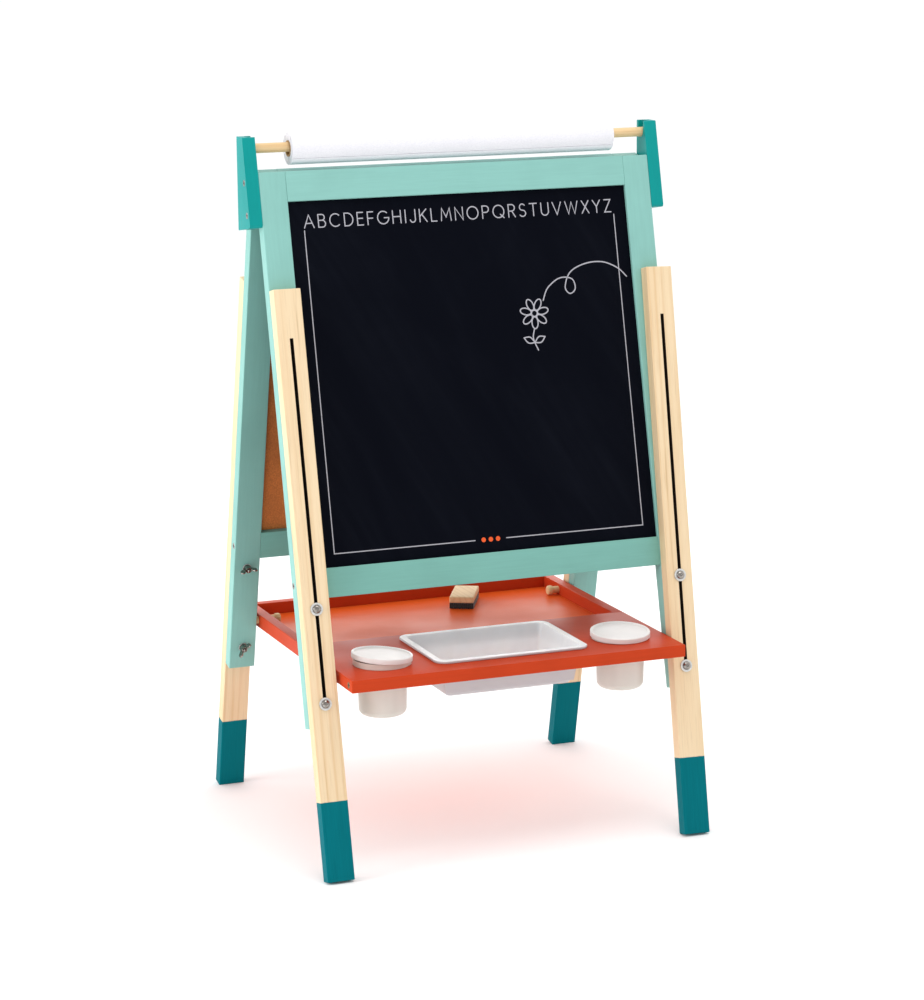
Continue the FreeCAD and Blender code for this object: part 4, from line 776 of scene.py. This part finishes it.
def strip_points(low, high):
    """One strip's grid of points, ragged at its ends and a little uneven below."""
    along, across, up = STRIP_CELLS
    points = []
    for i in range(along + 1):
        for j in range(across + 1):
            for k in range(up + 1):
                u, v, w = i / along, j / across, k / up
                inset = 0.0004 * (abs(2 * v - 1) ** 6)
                ragged = 0.0005 if abs(2 * u - 1) > 0.99 else 0.0
                outward = 1 if u > 0.5 else -1
                x = -FELT_LENGTH / 2 + FELT_LENGTH * u
                x += ragged * rng.uniform(-1, 0.2) * outward
                y = low + (high - low) * v + rng.uniform(-0.00007, 0.00007)
                z = inset * (1 - w) + FELT_HEIGHT * w * 0.98 + rng.uniform(0, 0.00012) * (1 - w)
                points.append(FELT_PLACE @ Vector((x, y, z)))
    return points


def strip_faces(first):
    """The six sides of a strip's grid, counted on from its first point."""
    cells = STRIP_CELLS
    steps = ((cells[1] + 1) * (cells[2] + 1), cells[2] + 1, 1)
    faces = []
    for fixed, one, other in ((2, 0, 1), (1, 0, 2), (0, 1, 2)):
        for level in (0, cells[fixed]):
            # The order of the corners turns every side's normal outwards.
            flip = (level == 0) != (fixed == 1)
            for i in range(cells[one]):
                for j in range(cells[other]):
                    corner = first + level * steps[fixed] + i * steps[one] + j * steps[other]
                    quad = (corner, corner + steps[one], corner + steps[one] + steps[other],
                            corner + steps[other])
                    faces.append(quad[::-1] if flip else quad)
    return faces


def felt_strips():
    """The eraser's pad: upright felt strips glued side by side, each a little uneven."""
    verts = []
    faces = []
    for strip in range(FELT_STRIPS):
        low = -FELT_WIDTH / 2 + FELT_WIDTH * strip / FELT_STRIPS + STRIP_GAP / 2
        high = low + FELT_WIDTH / FELT_STRIPS - STRIP_GAP
        faces += strip_faces(len(verts))
        verts += strip_points(low, high)
    pad = solid("felt_strips", verts, faces, FELT, "eraser")
    smooth(pad)
    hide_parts("eraser_felt")


wound_paper()
for frame_name in FRAMES:
    bolt_threads(frame_name)
felt_strips()


# ---------------------------------------------------------------- floor, light and camera

def floor():
    """A plain pale floor with the faintest unevenness."""
    shader = Shader("pale_floor", Specular_IOR_Level=0.1)
    clouds = shader.noise(shader.coords(), 1.2, 3, 0.5)
    base = shader.mix(shader.remap(clouds, 0.3, 0.7), (0.975, 0.98, 0.98, 1), (0.967, 0.972, 0.972, 1))
    material = shader.finish(base, shader.remap(clouds, 0.3, 0.7, 0.85, 0.95))
    mesh = bpy.data.meshes.new("floor")
    reach = 28
    corners = [(-reach, -reach, 0), (reach, -reach, 0), (reach, reach, 0), (-reach, reach, 0)]
    mesh.from_pydata(corners, [], [(0, 1, 2, 3)])
    mesh.materials.append(material)
    plane = bpy.data.objects.new("floor", mesh)
    bpy.context.scene.collection.objects.link(plane)


def softbox(name, position, target, size, power):
    """A white rectangular light that faces a target."""
    light = bpy.data.lights.new(name, "AREA")
    light.shape = "RECTANGLE"
    light.size = size[0]
    light.size_y = size[1]
    light.energy = power
    lamp = bpy.data.objects.new(name, light)
    lamp.location = position
    lamp.rotation_euler = (Vector(target) - Vector(position)).to_track_quat("-Z", "Y").to_euler()
    bpy.context.scene.collection.objects.link(lamp)


def camera():
    """The photograph's viewpoint."""
    place = (-1.4278, -3.6739, 1.2431)
    yaw = math.radians(-21.365)
    pitch = math.radians(-11.725)
    roll = math.radians(-0.540)
    ahead = Vector((-math.sin(yaw) * math.cos(pitch), math.cos(yaw) * math.cos(pitch), math.sin(pitch)))
    level = Vector((math.cos(yaw), math.sin(yaw), 0))
    above = level.cross(ahead)
    right = level * math.cos(roll) + above * math.sin(roll)
    up = above * math.cos(roll) - level * math.sin(roll)
    data = bpy.data.cameras.new("camera")
    data.sensor_fit = "VERTICAL"
    data.sensor_height = 36
    data.lens = 109.06
    data.clip_end = 60
    eye = bpy.data.objects.new("camera", data)
    turned = Matrix((right, up, -ahead)).transposed().to_4x4()
    eye.matrix_world = Matrix.Translation(place) @ turned
    bpy.context.scene.collection.objects.link(eye)
    bpy.context.scene.camera = eye


def studio(dim, bright):
    """A white backdrop behind the easel that falls off towards the camera's side and the left."""
    world = bpy.data.worlds.new("studio")
    world.use_nodes = True
    tree = world.node_tree
    tree.nodes["Background"].inputs["Color"].default_value = (1, 1, 1, 1)
    direction = tree.nodes.new("ShaderNodeTexCoord")
    along = tree.nodes.new("ShaderNodeVectorMath")
    along.operation = "DOT_PRODUCT"
    along.inputs[1].default_value = Vector((0.5, 0.85, 0.12)).normalized()
    level = tree.nodes.new("ShaderNodeMapRange")
    level.interpolation_type = "SMOOTHSTEP"
    level.inputs["From Min"].default_value = -0.9
    level.inputs["From Max"].default_value = 0.75
    level.inputs["To Min"].default_value = dim
    level.inputs["To Max"].default_value = bright
    tree.links.new(direction.outputs["Generated"], along.inputs[0])
    tree.links.new(along.outputs["Value"], level.inputs["Value"])
    tree.links.new(level.outputs["Result"], tree.nodes["Background"].inputs["Strength"])
    bpy.context.scene.world = world


floor()
softbox("top", (0.15, -0.75, 2.9), (0, -0.1, 0.3), (1.3, 1.3), 19)
softbox("behind", (0.6, 2.4, 0.5), (0, 0, 0), (1.6, 0.8), 8)
softbox("left", (-2.7, -0.15, 1.0), (0, 0.05, 0.35), (1.6, 1.4), 36)
camera()
studio(0.74, 1.28)
bpy.context.scene.view_settings.view_transform = "Standard"
